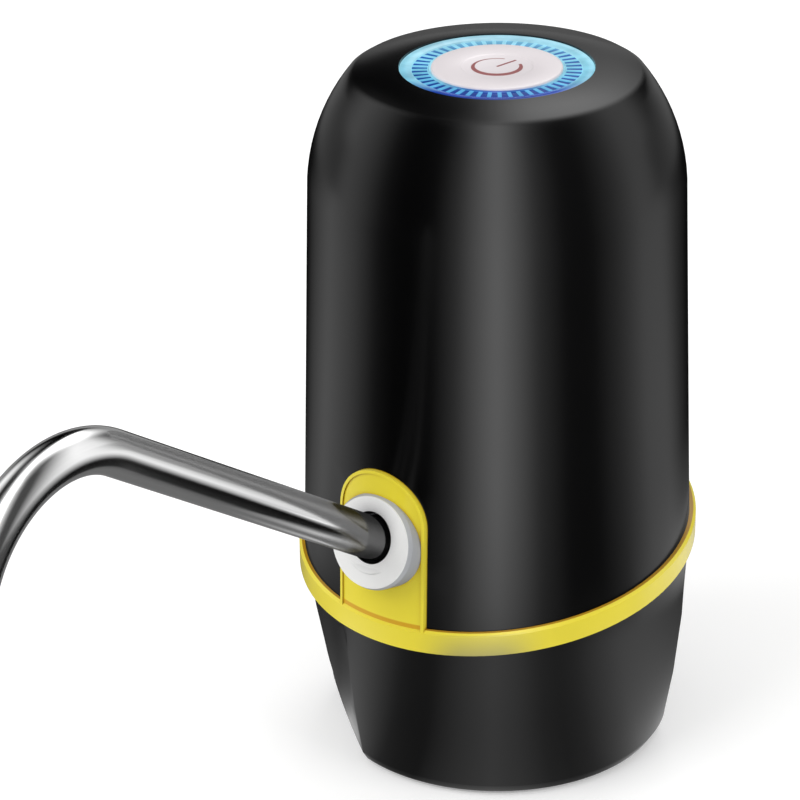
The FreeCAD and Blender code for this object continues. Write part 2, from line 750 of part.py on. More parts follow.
def base_shell():
    """Barrel with two opposite grips, hollow below for the bottle neck and above for the works."""
    barrel = new_body("base_barrel")
    bevel = "base_rim_round * (1 - cos(45))"
    stations = [("0", "base_rim_round"), (bevel, bevel), ("base_rim_round", "0")]
    stations += [(f"({BASE_SHOULDER} * {step} / 3)", "0") for step in (1, 2, 3)]
    sections = [base_section(barrel, *station) for station in stations]
    loft = add_feature(barrel, "AdditiveLoft", sections[0])
    loft.Sections = sections[1:]
    loft.Ruled = True
    pad(barrel, draw_circle(new_sketch(barrel, "XY", BASE_SHOULDER), "base_top_radius"), "pump_height / 4")
    place(barrel, turn="grip_azimuth")

    above = new_body("above_base")
    outline = slanted(EDGE, True, "-ring_height / 2")
    pad(above, draw_path(new_sketch(above, "YZ"), outline), f"{EDGE} * 2", symmetric=True)
    spigot = new_body("base_spigot")
    pad(spigot, draw_circle(new_sketch(spigot, "XY"), f"{RING_BORE} - seam_clearance"), "pump_height / 2")
    rise = "ring_height / 2 + spigot_height"
    pocket(spigot, draw_path(new_sketch(spigot, "YZ"), slanted(EDGE, True, rise)), symmetric=True)
    above = combine("Cut", "above_rim", (above, spigot))

    hollow = new_body("base_hollow")
    revolve(hollow, draw_path(new_sketch(hollow, "XZ"), [
        ("0", f"-{MARGIN}"), ("neck_radius + neck_lead_in", f"-{MARGIN}"), ("neck_radius + neck_lead_in",
                                                                            "0"),
        ("neck_radius", "neck_lead_in"), ("neck_radius", "neck_depth"), ("0", "neck_depth"),
    ]))
    low, through = "neck_depth - deck_thickness / 2", "deck_thickness * 2"
    pad(hollow, draw_circle(new_sketch(hollow, "XY", low), "nipple_collar_radius + seam_clearance"), through)
    works = new_body("works_hollow")
    pad(works, draw_circle(new_sketch(works, "XY", DECK_TOP), "base_cavity_radius"), "pump_height")
    holes = posts("case_hole", "screw_radius + screw_play", low, through, CASE_CORNERS)
    blank = combine("Cut", "base_outside", (barrel, above))
    hollows = combine("MultiFuse", "base_hollows", [hollow, works, *holes])
    return keep(combine("Cut", "base_shell", (blank, hollows)))


# Water way: intake nipple, hose, socket and spout

def intake_nipple():
    """Spigot for the dip hose below the deck, and a flange that the pump block presses on the deck."""
    low = "(neck_depth - nipple_drop)"
    return keep(turned("intake_nipple", [
        ("nipple_bore", low), ("nipple_radius", low), ("nipple_radius", "neck_depth"),
        ("nipple_collar_radius", "neck_depth"), ("nipple_collar_radius", DECK_TOP),
        ("nipple_flange_radius", DECK_TOP), ("nipple_flange_radius", PUMP_FLOOR), ("nipple_bore", PUMP_FLOOR),
    ]))


def bent_tube(name, path, radius, bore):
    """Tube that starts up its own Z axis and bends in the YZ plane. The path is its middle line."""
    body = new_body(name)
    spine = draw_path(new_sketch(body, "YZ"), path, closed=False)
    ring = draw_circle(draw_circle(new_sketch(body, "XY"), radius), bore)
    pipe = add_feature(body, "AdditivePipe", ring)
    pipe.Spine = (spine, [])
    doc.recompute()
    return body


def outlet_tube():
    """Straight hose from the socket's nozzle down to the pump's outlet nozzle on the same axis."""
    body = turned("outlet_tube", rectangle("hose_bore", "-hose_reach", "hose_radius", "0"))
    return keep(on_spout_axis(body, "socket_length + hose_gap / 2"))


def spout_socket():
    """Barrel that the spout slides into: seal seat in front, flange on the boss, stop and nozzle behind."""
    stop = "(-spout_depth - seal_gap)"
    tip = "(-socket_length - nozzle_grip)"
    seat = "-socket_seat_depth"
    body = turned("spout_socket", [
        ("seal_radius", "-nose_depth"), ("seal_radius", stop), ("nozzle_bore", stop), ("nozzle_bore", tip),
        ("hose_bore", tip), ("hose_bore", "-socket_length"), ("socket_radius", "-socket_length"),
        ("socket_radius", f"{seat} - socket_flange"), ("socket_flange_radius", f"{seat} - socket_flange"),
        ("socket_flange_radius", seat), ("socket_radius", seat), ("socket_radius", "-nose_depth"),
    ])
    return keep(on_spout_axis(body, "0"))


def spout_seal():
    """Silicone sleeve that grips the spout and turns with it."""
    bore = "spout_radius + spout_running"
    outline = rectangle(bore, "-spout_depth", "seal_radius - spout_running", "-nose_depth - seal_gap")
    body = turned("spout_seal", outline)
    return keep(on_spout_axis(body, "0"))


def spout_collar():
    """White bezel: a disc leaning back on the tongue, with a spigot into the boss and the spout's bore."""
    disc = turned("collar_disc", [
        ("0", "-collar_rear_radius"), ("collar_rear_radius", "-collar_rear_radius"),
        ("collar_rear_radius", "collar_height - collar_chamfer"),
        ("collar_face_radius", "collar_height"), ("0", "collar_height"),
    ])
    place(disc, "0", *spout_point("0"), tilt="90 - collar_tilt")
    disc = combine("Cut", "collar_front", (disc, tongue_cone("collar_seat")))
    spigot = primitive("Cylinder", "collar_spigot", Radius="socket_radius",
                       Height="nose_depth + collar_spigot")
    blank = combine("Fuse", "collar_blank", (disc, on_spout_axis(spigot, "nose_depth")))
    bore = primitive("Cylinder", "collar_bore", Radius="spout_radius + collar_bore_gap",
                     Height="casing_radius")
    seat = primitive("Cylinder", "collar_counterbore", Radius="socket_radius + socket_gap",
                     Height="spout_depth")
    tools = [on_spout_axis(bore, "spout_depth"), on_spout_axis(seat, "nose_depth + spout_depth")]
    return keep(combine("Cut", "spout_collar", (blank, combine("MultiFuse", "collar_bores", tools))))


def spout_tube():
    """Steel spout: straight from the socket, one wide bend, and a plain outlet that points down."""
    straight = "(spout_depth + spout_reach)"
    end_y, end_z = "(spout_bend * (cos(spout_turn) - 1))", f"({straight} + spout_bend * sin(spout_turn))"
    tube = bent_tube("spout_tube", [
        ("0", "0"), ("0", straight, "left", "spout_bend"), (end_y, end_z),
        (f"{end_y} - spout_outlet * sin(spout_turn)", f"{end_z} + spout_outlet * cos(spout_turn)"),
    ], "spout_radius", "spout_radius - spout_wall")
    return keep(on_spout_axis(tube, "spout_depth"))


# Gear pump

def box(name, left, front, low, width, depth, height):
    item = primitive("Box", name, Length=width, Width=depth, Height=height)
    return place(item, left, front, low)


def pump_block(name, low, height):
    """Rounded block that both the pump's housing and its cover start from."""
    body = new_body(name)
    outline = rounded_rectangle("pump_half_width", "-pump_half_depth", "pump_half_depth", "block_round")
    pad(body, draw_path(new_sketch(body, "XY", low), outline), height)
    return body


def pump_housing():
    """Block with the two gears' chamber, an inlet below and an outlet nozzle that points at the spout."""
    block = pump_block("pump_housing_block", PUMP_FLOOR, f"{PUMP_TOP} - {PUMP_FLOOR}")
    chamber = "(gear_module * (gear_teeth / 2 + 1) + chamber_gap)"
    for side in (1, -1):
        pocket(block, draw_circle(new_sketch(block, "XY", PUMP_TOP), chamber, f"{GEAR_SPACING} / 2 * {side}"),
               f"{PUMP_TOP} - {CHAMBER_FLOOR}")
        pocket(block,
               draw_circle(new_sketch(block, "XY", PUMP_TOP), "port_radius", "0", f"port_offset * {side}"),
               f"{PUMP_TOP} - {CHAMBER_FLOOR}")
    recess = draw_circle(new_sketch(block, "XY", PUMP_FLOOR), "inlet_recess_radius")
    pocket(block, recess, "inlet_recess", reverse=True)
    inlet = draw_circle(new_sketch(block, "XY", PUMP_FLOOR), "nozzle_bore", "0", "port_offset")
    pocket(block, inlet, "pump_floor", reverse=True)
    seat = draw_circle(new_sketch(block, "XY", CHAMBER_FLOOR), "shaft_radius", f"{GEAR_SPACING} / 2")
    pocket(block, seat, "pin_seat")
    nozzle_tip = "(socket_length + hose_reach - nozzle_grip)"
    nozzle = on_spout_axis(primitive("Cylinder", "outlet_nozzle", Radius="hose_bore",
                                     Height="nozzle_grip * 2"),
                           f"({nozzle_tip} + nozzle_grip * 2)")
    blank = combine("Fuse", "pump_housing_blank", (block, nozzle))
    bore = on_spout_axis(primitive("Cylinder", "outlet_bore", Radius="nozzle_bore", Height="nozzle_grip * 3"),
                         f"({nozzle_tip} + nozzle_grip * 2.5)")
    tools = [bore, *posts("housing_hole", "screw_radius", DECK_TOP, "pump_height / 4", PUMP_SCREWS)]
    return keep(combine("Cut", "pump_housing", (blank, combine("MultiFuse", "pump_housing_bores", tools))))


def pump_cover():
    """Lid of the chamber, with the shaft's seal seat on top and a seat for the idler's pin below."""
    cover = pump_block("pump_cover", PUMP_TOP, "cover_thickness")
    pocket(cover, draw_circle(new_sketch(cover, "XY", COVER_TOP), "shaft_radius + bearing_gap", MOTOR_X))
    pocket(cover, draw_circle(new_sketch(cover, "XY", COVER_TOP), "shaft_seal_radius", MOTOR_X),
           "shaft_seal_length")
    pocket(cover, draw_circle(new_sketch(cover, "XY", PUMP_TOP), "shaft_radius", f"{GEAR_SPACING} / 2"),
           "pin_seat",
           reverse=True)
    for x, y in PUMP_SCREWS:
        pocket(cover, draw_circle(new_sketch(cover, "XY", COVER_TOP), "screw_radius", x, y))
    return keep(cover)


def gear_point(radius, flank_radius, side):
    """Corner of a tooth space at a radius, on the involute flank that passes through flank_radius."""
    pitch = "(gear_module * gear_teeth / 2)"
    base = f"({pitch} * cos(gear_pressure_angle))"
    at_pitch = f"(90 / gear_teeth + gear_backlash / {pitch} * 90 / pi)"
    slope = f"sqrt({flank_radius} * {flank_radius} / ({base} * {base}) - 1)"
    rolled = f"({slope} * 180 / pi - atan({slope}) / 1 deg)"
    rolled_at_pitch = "(tan(gear_pressure_angle) * 180 / pi - gear_pressure_angle)"
    angle = f"({at_pitch} + {rolled} - {rolled_at_pitch})"
    return f"({radius}) * cos({angle})", f"({radius}) * sin({angle}) * {side}"


def gear(name, bore, x, turn=None):
    """Spur gear cut from a round blank, one involute tooth space after another."""
    body = new_body(name)
    low = f"({CHAMBER_FLOOR} + gear_side_gap)"
    tip = "(gear_module * (gear_teeth / 2 + 1))"
    root = "(gear_module * (gear_teeth / 2 - gear_root))"
    base = "(gear_module * gear_teeth / 2 * cos(gear_pressure_angle))"
    flank = "(gear_module * gear_teeth / 2 * sin(gear_pressure_angle) * gear_flank_share)"
    blank = draw_circle(new_sketch(body, "XY", low), tip)
    pad(body, draw_circle(blank, bore), "gear_width")
    far = f"({tip} + gear_module)"
    right_root, left_root = gear_point(root, base, -1), gear_point(root, base, 1)
    right_base, left_base = gear_point(base, base, -1), gear_point(base, base, 1)
    right_tip, left_tip = gear_point(tip, tip, -1), gear_point(tip, tip, 1)
    space = pocket(body, draw_path(new_sketch(body, "XY", low), [
        right_root, (*right_base, "left", flank), right_tip, (far, right_tip[1]), (far, left_tip[1]),
        (*left_tip, "left", flank), left_base, (*left_root, "right", root),
    ]), "gear_width", reverse=True)
    repeat_round(body, [space], "gear_teeth")
    return keep(place(body, x, turn=turn))


def idler_pin():
    low = f"({CHAMBER_FLOOR} - pin_seat)"
    return keep(turned_pin("idler_pin", "shaft_radius", f"{GEAR_SPACING} / 2", low,
                           f"{PUMP_TOP} + pin_seat - {low}"))


def turned_pin(name, radius, x, low, height):
    pin = primitive("Cylinder", name, Radius=radius, Height=height)
    pin.Label = name
    return place(pin, x, "0", low)


def shaft_seal():
    low = f"{COVER_TOP} - shaft_seal_length"
    body = turned("shaft_seal",
                  rectangle("shaft_radius + shaft_seal_gap", low, "shaft_seal_radius", COVER_TOP))
    return keep(place(body, MOTOR_X))


# Chassis and fasteners

def chassis():
    """Plate over the pump on four legs, with a half cradle for the cell and the charging board's posts."""
    body = new_body("chassis")
    wide, deep, ear = "chassis_half_width", "chassis_half_depth", "(chassis_half_width - leg_half_width * 2)"
    pad(body, draw_path(new_sketch(body, "XY", COVER_TOP), [
        (f"-{wide}", f"-{wide}"), (f"-{ear}", f"-{wide}"), (f"-{ear}", f"-{deep}"), (ear, f"-{deep}"),
        (ear, f"-{wide}"), (wide, f"-{wide}"), (wide, wide), ("tail_half_width", wide),
        ("tail_half_width", "tail_reach"), ("-tail_half_width", "tail_reach"), ("-tail_half_width", wide),
        (f"-{wide}", wide),
    ]), "chassis_plate")
    for x, y in CASE_CORNERS:
        half = "leg_half_width"
        leg = rectangle(f"{x} - {half}", f"{y} - {half}", f"{x} + {half}", f"{y} + {half}")
        pad(body, draw_path(new_sketch(body, "XY", DECK_TOP), leg), f"{COVER_TOP} - {DECK_TOP}")
    for x, y in POSTS:
        pad(body, draw_circle(new_sketch(body, "XY", CHASSIS_TOP), "post_radius", x, y), "post_height")
    cradle = "(cell_radius + cell_clearance + cradle_wall)"
    top = f"({CHASSIS_TOP} + cell_lift + cradle_height)"
    pad(body, draw_circle(new_sketch(body, "XY", COVER_TOP), cradle, "cell_offset"), f"{top} - {COVER_TOP}")
    seat = draw_circle(new_sketch(body, "XY", top), "cell_radius + cell_clearance", "cell_offset")
    pocket(body, seat, "cradle_height")
    open_side = rectangle("0", f"-{cradle} - cradle_wall", "cell_offset", f"{cradle} + cradle_wall")
    pocket(body, draw_path(new_sketch(body, "XY", top), open_side), "cradle_height")
    pocket(body, draw_circle(new_sketch(body, "XY", CHASSIS_TOP), "motor_boss_radius + bearing_gap", MOTOR_X),
           "chassis_plate")
    for x, y in MOTOR_SCREWS:
        hole = draw_circle(new_sketch(body, "XY", CHASSIS_TOP), "screw_radius + screw_play", x, y)
        pocket(body, hole, "chassis_plate")
    for x, y in PUMP_SCREWS:
        hole = draw_circle(new_sketch(body, "XY", COVER_TOP), "screw_radius", x, y)
        pocket(body, hole, "pump_screw_grip + screw_end_gap", reverse=True)
    for x, y in CASE_CORNERS:
        pocket(body, draw_circle(new_sketch(body, "XY", CHASSIS_TOP), "screw_radius + screw_play", x, y))
    for x, y in POSTS:
        hole = draw_circle(new_sketch(body, "XY", f"{CHASSIS_TOP} + post_height"), "screw_radius", x, y)
        pocket(body, hole, "charge_screw_grip + screw_end_gap")
    return keep(body)


def fasteners():
    """Plain screws, one group for each job."""
    screws("pump_screws", PUMP_SCREWS, PUMP_FLOOR, f"{COVER_TOP} + pump_screw_grip - {PUMP_FLOOR}")
    screws("motor_screws", MOTOR_SCREWS, COVER_TOP, "chassis_plate + motor_skin * 2")
    screws("case_screws", CASE_CORNERS, "neck_depth",
           f"{CHASSIS_TOP} - neck_depth + case_screw_length - screw_end_gap")
    screws("board_screws", STANDOFFS, BOARD_UNDER,
           f"{CROWN_INSIDE} - {BOARD_UNDER} - standoff_floor - screw_end_gap")
    screws("charge_board_screws", POSTS, CHARGE_BOARD_TOP, "board_thickness + charge_screw_grip",
           upward=False)


# Motor

def motor_can():
    """Steel can with a front boss that centres it in the chassis, open at the back."""
    boss = f"({CHASSIS_TOP} - motor_boss)"
    inside = f"({CHASSIS_TOP} + motor_skin)"
    bore = "(motor_radius - motor_skin)"
    body = turned("motor_can", [
        ("shaft_radius + bearing_gap", boss), ("motor_boss_radius", boss), ("motor_boss_radius", CHASSIS_TOP),
        ("motor_radius", CHASSIS_TOP), ("motor_radius", CAN_TOP), (bore, CAN_TOP), (bore, inside),
        ("shaft_radius + bearing_gap", inside),
    ])
    for _, y in MOTOR_SCREWS:
        pocket(body, draw_circle(new_sketch(body, "XY", inside), "screw_radius", "0", y), "motor_skin")
    return keep(place(body, MOTOR_X))


def motor_end_cap():
    """Plastic plug with a flange on the can's rim and the rear bearing's boss."""
    plug = f"({CAN_TOP} - end_cap_depth)"
    boss = f"({MOTOR_TOP} + motor_boss)"
    body = turned("motor_end_cap", [
        ("shaft_radius + bearing_gap", plug), ("motor_radius - motor_skin", plug),
        ("motor_radius - motor_skin", CAN_TOP), ("motor_radius", CAN_TOP), ("motor_radius", MOTOR_TOP),
        ("end_boss_radius", MOTOR_TOP), ("end_boss_radius", boss), ("shaft_radius + bearing_gap", boss),
    ])
    return keep(place(body, MOTOR_X))


def motor_terminals():
    blades = [
        box(f"terminal_{number}", f"{MOTOR_X} - terminal_width / 2", f"{place_y} - terminal_thickness / 2",
            MOTOR_TOP,
            "terminal_width", "terminal_thickness", "terminal_height")
        for number, place_y in enumerate(("terminal_offset", "-terminal_offset"), start=1)
    ]
    return keep(combine("Compound", "motor_terminals", blades))


def motor_brushes():
    """Two carbon blocks under the end cap, one on each side of the commutator."""
    low = f"({CAN_TOP} - end_cap_depth - brush_length)"
    near = "(commutator_radius + bearing_gap)"
    blocks = [
        box("brush_right", f"{MOTOR_X} + {near}", "-brush_width / 2", low, "brush_length", "brush_width",
            "brush_length"),
        box("brush_left", f"{MOTOR_X} - {near} - brush_length", "-brush_width / 2", low, "brush_length",
            "brush_width",
            "brush_length"),
    ]
    return keep(combine("Compound", "motor_brushes", blocks))


def sector(outer, inner, half_angle):
    """Outline of a ring's sector about the X axis."""
    return [
        (f"{inner} * cos({half_angle})", f"-{inner} * sin({half_angle})"),
        (f"{outer} * cos({half_angle})", f"-{outer} * sin({half_angle})", "left", outer),
        (f"{outer} * cos({half_angle})", f"{outer} * sin({half_angle})"),
        (f"{inner} * cos({half_angle})", f"{inner} * sin({half_angle})", "right", inner),
    ]


def motor_magnets():
    """Two curved magnets on the can's wall."""
    outer = "(motor_radius - motor_skin)"
    arcs = []
    for number, turn in enumerate((None, "180"), start=1):
        body = new_body(f"magnet_{number}")
        outline = sector(outer, f"({outer} - magnet_thickness)", "magnet_half_angle")
        pad(body, draw_path(new_sketch(body, "XY"), outline), "magnet_length")
        arcs.append(place(body, MOTOR_X, "0", f"{CHASSIS_TOP} + motor_skin + magnet_lift", turn=turn))
    return keep(combine("Compound", "motor_magnets", arcs))


def rotor_core():
    """Laminated core with three poles: a hub, an arm for each winding and a curved shoe."""
    body = new_body("rotor_core")
    radius = "(motor_radius - motor_skin - magnet_thickness - air_gap)"
    hub = draw_circle(draw_circle(new_sketch(body, "XY"), "rotor_hub_radius"), "shaft_radius")
    pad(body, hub, "rotor_length")
    arm = rectangle("rotor_hub_radius - rotor_shoe / 2", "-rotor_arm / 2", f"{radius} - rotor_shoe / 2",
                    "rotor_arm / 2")
    arm = pad(body, draw_path(new_sketch(body, "XY"), arm), "rotor_length")
    shoe = sector(radius, f"({radius} - rotor_shoe)", "shoe_half_angle")
    shoe = pad(body, draw_path(new_sketch(body, "XY"), shoe), "rotor_length")
    repeat_round(body, [arm, shoe], "rotor_poles")
    return keep(place(body, MOTOR_X, "0", f"{CHASSIS_TOP} + rotor_lift"))


def commutator():
    low = f"({CAN_TOP} - end_cap_depth - commutator_gap - commutator_length)"
    body = turned("commutator",
                  rectangle("shaft_radius", low, "commutator_radius", f"{low} + commutator_length"))
    return keep(place(body, MOTOR_X))


def motor_shaft():
    low = f"({CHAMBER_FLOOR} + gear_side_gap)"
    high = f"({MOTOR_TOP} + motor_boss + shaft_end)"
    return keep(turned_pin("motor_shaft", "shaft_radius", MOTOR_X, low, f"{high} - {low}"))


# Cell and boards

def battery_cell():
    cell = primitive("Cylinder", "battery_cell", Radius="cell_radius", Height=f"{CELL_TOP} - {CELL_FLOOR}")
    return keep(place(cell, "cell_offset", "0", CELL_FLOOR))


def battery_tabs():
    """Nickel strips under and over the cell, whose inner ends take the leads."""
    levels = ((f"{CELL_FLOOR} - tab_thickness", "tab_offset"), (CELL_TOP, "0"))
    strips = [
        box(f"tab_{number}", "cell_offset - tab_reach", f"{middle} - tab_width / 2", low,
            "tab_reach + tab_width / 2",
            "tab_width", "tab_thickness")
        for number, (low, middle) in enumerate(levels, start=1)
    ]
    return keep(combine("Compound", "battery_tabs", strips))


def battery_pad():
    """Foam block between the cell's upper strip and the control board."""
    low = f"({CELL_TOP} + tab_thickness)"
    return keep(box("battery_pad", "cell_offset - pad_half_width", "-pad_half_width", low, "pad_length",
                    "pad_half_width * 2", f"{BOARD_UNDER} - {low}"))


def control_board():
    body = new_body("control_board")
    sketch = draw_circle(new_sketch(body, "XY", BOARD_UNDER), "control_board_radius")
    for x, y in STANDOFFS:
        draw_circle(sketch, "screw_radius + screw_play", x, y)
    pad(body, sketch, "board_thickness")
    return keep(body)


def tact_switch():
    """Switch case with a well for its plunger."""
    body = new_body("tact_switch")
    side = "(switch_side / 2)"
    outline = rectangle(f"-{side}", f"-{side}", side, side)
    pad(body, draw_path(new_sketch(body, "XY", BOARD_TOP), outline), "switch_height")
    pocket(body, draw_circle(new_sketch(body, "XY", SWITCH_TOP), "plunger_radius + cap_running"),
           "plunger_well")
    return keep(body)


def switch_plunger():
    return keep(turned_pin("switch_plunger", "plunger_radius", "0", f"({SWITCH_TOP} - plunger_depth)",
                           "plunger_depth + plunger_proud"))


def led_set():
    """Lamps on the control board under the lit ring."""
    lamps = []
    for number in range(SIZES["led_count"]):
        lamp = primitive("Box", f"led_{number + 1}", Length="led_length", Width="led_width",
                         Height="led_height")
        angle = f"({number} * 360 / led_count)"
        near = "(led_circle - led_length / 2)"
        place(lamp, f"{near} * cos({angle}) + led_width / 2 * sin({angle})",
              f"{near} * sin({angle}) - led_width / 2 * cos({angle})", BOARD_TOP, turn=f"{angle} + 0")
        lamps.append(lamp)
    return keep(combine("Compound", "led_set", lamps))


def light_ring():
    """Clear ring that fills the crown's opening, with a flange under the crown."""
    top = "(pump_height - light_ring_inset)"
    wide = "(light_ring_radius + light_ring_flange)"
    return keep(turned("light_ring", [
        ("light_ring_bore", RING_UNDER), (wide, RING_UNDER), (wide, CROWN_INSIDE), ("light_ring_radius",
                                                                                    CROWN_INSIDE),
        ("light_ring_radius", top), ("light_ring_bore", top),
    ]))


def button_cap():
    """Hollow cap that slides in the lit ring, stopped by its flange, with a stem over the switch."""
    face = "(pump_height - cap_thickness)"
    radius = "(light_ring_bore - cap_running)"
    flange = f"({RING_UNDER} - bearing_gap)"
    low = f"({flange} - cap_flange_thickness)"
    stem = f"({SWITCH_TOP} + plunger_proud)"
    return keep(turned("button_cap", [
        ("0", stem), ("cap_stem_radius", stem), ("cap_stem_radius", face), (f"{radius} - cap_wall", face),
        (f"{radius} - cap_wall", low), (f"{radius} + cap_flange", low), (f"{radius} + cap_flange", flange),
        (radius, flange), (radius, "pump_height"), ("0", "pump_height"),
    ]))


def charge_board():
    """Board on the chassis posts, which the socket overhangs at the back of the casing."""
    body = new_body("charge_board")
    front = f"({USB_FRONT} - usb_overhang)"
    half = "charge_board_half_width"
    sketch = draw_path(new_sketch(body, "XY", f"{CHASSIS_TOP} + post_height"),
                       rectangle(f"-{half}", f"{front} - charge_board_depth", half, front))
    for x, y in POSTS:
        draw_circle(sketch, "screw_radius + screw_play", x, y)
    pad(body, sketch, "board_thickness")
    return keep(body)


def usb_socket():
    """Metal shell of the charging socket, open to the back of the casing."""
    body = new_body("usb_socket")
    low = f"({USB_MIDDLE} - usb_height / 2)"
    shell = rounded_rectangle("usb_half_width", low, f"({low} + usb_height)", "usb_corner")
    pad(body, draw_path(new_sketch(body, "XZ", f"-({USB_FRONT})"), shell), "usb_length")
    inside = rounded_rectangle("(usb_half_width - usb_skin)", f"({low} + usb_skin)",
                               f"({low} + usb_height - usb_skin)", "(usb_corner - usb_skin)")
    well = draw_path(new_sketch(body, "XZ", f"-({USB_FRONT})"), inside)
    pocket(body, well, "usb_length - usb_skin * 2", reverse=True)
    return keep(body)


def usb_tongue():
    """Contact tongue in the middle of the socket."""
    return keep(box("usb_tongue", "-usb_tongue_half_width", f"{USB_FRONT} - usb_length + usb_skin * 2",
                    f"{USB_MIDDLE} - usb_tongue_thickness / 2", "usb_tongue_half_width * 2",
                    "usb_length - usb_skin * 2 - usb_tongue_inset", "usb_tongue_thickness"))


# Leads, as flat pairs of wire

def lead(name, x, y, low, high, shift, turn=None):
    """Flat lead that rises from one place to another with one S-bend, sideways by shift."""
    body = new_body(name)
    middle = f"(({low} + {high}) / 2)"
    half_turn = f"acos(1 - {shift} / (2 * lead_bend))"
    run = f"(lead_bend * sin({half_turn}))"
    spine = draw_path(new_sketch(body, "YZ"), [
        ("0", low), ("0", f"{middle} - {run}", "right", "lead_bend"), (f"{shift} / 2", middle, "left",
                                                                       "lead_bend"),
        (shift, f"{middle} + {run}"), (shift, high),
    ], closed=False)
    section = rectangle("-lead_width / 2", "-lead_thickness / 2", "lead_width / 2", "lead_thickness / 2")
    pipe = add_feature(body, "AdditivePipe", draw_path(new_sketch(body, "XY", low), section))
    pipe.Spine = (spine, [])
    doc.recompute()
    return place(body, x, y, turn=turn)


def leads():
    terminal_top = f"({MOTOR_TOP} + terminal_height)"
    ends = [
        lead(f"motor_lead_{number}", MOTOR_X, f"terminal_offset * {side}", terminal_top, BOARD_UNDER,
             "motor_lead_shift", turn)
        for number, (side, turn) in enumerate(((1, None), (-1, "180")), start=1)
    ]
    keep(combine("Compound", "motor_leads", ends))
    inner = "(cell_offset - tab_reach + lead_thickness / 2)"
    ends = [
        lead("cell_lead_low", inner, "tab_offset", CELL_FLOOR, BOARD_UNDER, "cell_lead_shift", "90"),
        lead("cell_lead_high", inner, "0", f"({CELL_TOP} + tab_thickness)", BOARD_UNDER, "strip_lead_shift",
             "90"),
    ]
    keep(combine("Compound", "battery_leads", ends))
    start = "(motor_radius + charge_board_gap + charge_lead_inset)"
    keep(lead("charge_leads", "0", start, CHARGE_BOARD_TOP, BOARD_UNDER, "charge_lead_shift", "180"))


# Build every sub-part and write its file

def build_all():
    body_shell()
    trim_ring()
    base_shell()
    intake_nipple()
    outlet_tube()
    spout_socket()
    spout_seal()
    spout_collar()
    spout_tube()
    pump_housing()
    pump_cover()
    gear("drive_gear", "shaft_radius", MOTOR_X)
    gear("idler_gear", "shaft_radius + bearing_gap", f"{GEAR_SPACING} / 2", "180 / gear_teeth")
    idler_pin()
    shaft_seal()
    chassis()
    fasteners()
    motor_can()
    motor_end_cap()
    motor_terminals()
    motor_brushes()
    motor_magnets()
    rotor_core()
    commutator()
    motor_shaft()
    battery_cell()
    battery_tabs()
    battery_pad()
    control_board()
    tact_switch()
    switch_plunger()
    led_set()
    light_ring()
    button_cap()
    charge_board()
    usb_socket()
    usb_tongue()
    leads()


def write_all():
    doc.recompute()
    failed = [item.Name for item in doc.Objects if "Invalid" in item.State or "Error" in item.State]
    if failed:
        raise RuntimeError(f"failed objects: {failed}")
    for piece in pieces:
        if piece.Shape.isNull() or not piece.Shape.isValid():
            raise RuntimeError(f"bad shape: {piece.Label}")
    os.makedirs("parts", exist_ok=True)
    for piece in pieces:
        piece.Shape.exportStep(f"parts/{piece.Label}.step")


build_all()
write_all()
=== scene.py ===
from math import atan2, cos, degrees, pi, radians, sin, sqrt, tan

import bmesh
import bpy
from mathutils import Matrix, Vector


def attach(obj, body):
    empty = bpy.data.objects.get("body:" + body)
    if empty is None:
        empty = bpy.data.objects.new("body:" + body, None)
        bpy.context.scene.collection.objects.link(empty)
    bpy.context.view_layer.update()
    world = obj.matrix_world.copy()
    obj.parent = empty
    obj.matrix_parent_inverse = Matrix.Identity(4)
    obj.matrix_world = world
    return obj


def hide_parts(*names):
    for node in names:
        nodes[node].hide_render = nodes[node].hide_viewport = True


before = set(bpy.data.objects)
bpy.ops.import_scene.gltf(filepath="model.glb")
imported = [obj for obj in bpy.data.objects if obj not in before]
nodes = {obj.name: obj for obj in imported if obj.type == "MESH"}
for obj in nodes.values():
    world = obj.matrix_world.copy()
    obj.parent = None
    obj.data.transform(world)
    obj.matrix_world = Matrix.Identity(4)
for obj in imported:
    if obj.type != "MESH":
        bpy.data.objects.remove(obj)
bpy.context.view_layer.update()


# Studio: a long lens a little above the pump, which stands on a wide sheet of pale board under
# large soft panels. A shaded surround lies on the board and stands up round the pump, as a
# photographer sets one for a dark glossy thing, and shows in its reflections alone. Its glow is
# painted reflection, listed by bearing from the camera, with other tones for short rays from near
# the pump.

mm = 0.001
scene = bpy.context.scene
scene.view_settings.view_transform = "Standard"
camera_place = Vector((326.1, -457.2, 333.7)) * mm
camera_back = Vector((0.5484, -0.7181, 0.4285))
camera_roll = radians(-0.79)
camera_data = bpy.data.cameras.new("camera")
camera_data.lens = 147.8
camera_data.clip_start = 0.02
camera_data.clip_end = 20
camera = bpy.data.objects.new("camera", camera_data)
camera.location = camera_place
camera.rotation_euler = (camera_back.to_track_quat("Z", "Y").to_matrix()
                         @ Matrix.Rotation(camera_roll, 3, "Z")).to_euler()
scene.collection.objects.link(camera)
scene.camera = camera


def plain_mesh(name, places, faces, material, smooth=True):
    """New object at the origin from points in metres and the corners of its faces."""
    mesh = bpy.data.meshes.new(name)
    mesh.from_pydata([tuple(place) for place in places], [], faces)
    if smooth:
        mesh.shade_smooth()
    else:
        mesh.shade_flat()
    mesh.materials.append(material)
    piece = bpy.data.objects.new(name, mesh)
    scene.collection.objects.link(piece)
    return piece


def node_maker(tree):
    """Maker of nodes in a tree, from the kind, its links or values by socket, and its settings."""

    def add(kind, links=None, **settings):
        node = tree.nodes.new(kind if "Node" in kind else "ShaderNode" + kind)
        for key, setting in settings.items():
            setattr(node, key, setting)
        for key, source in (links or {}).items():
            if isinstance(source, bpy.types.NodeSocket):
                tree.links.new(source, node.inputs[key])
            else:
                node.inputs[key].default_value = source
        return node

    return add


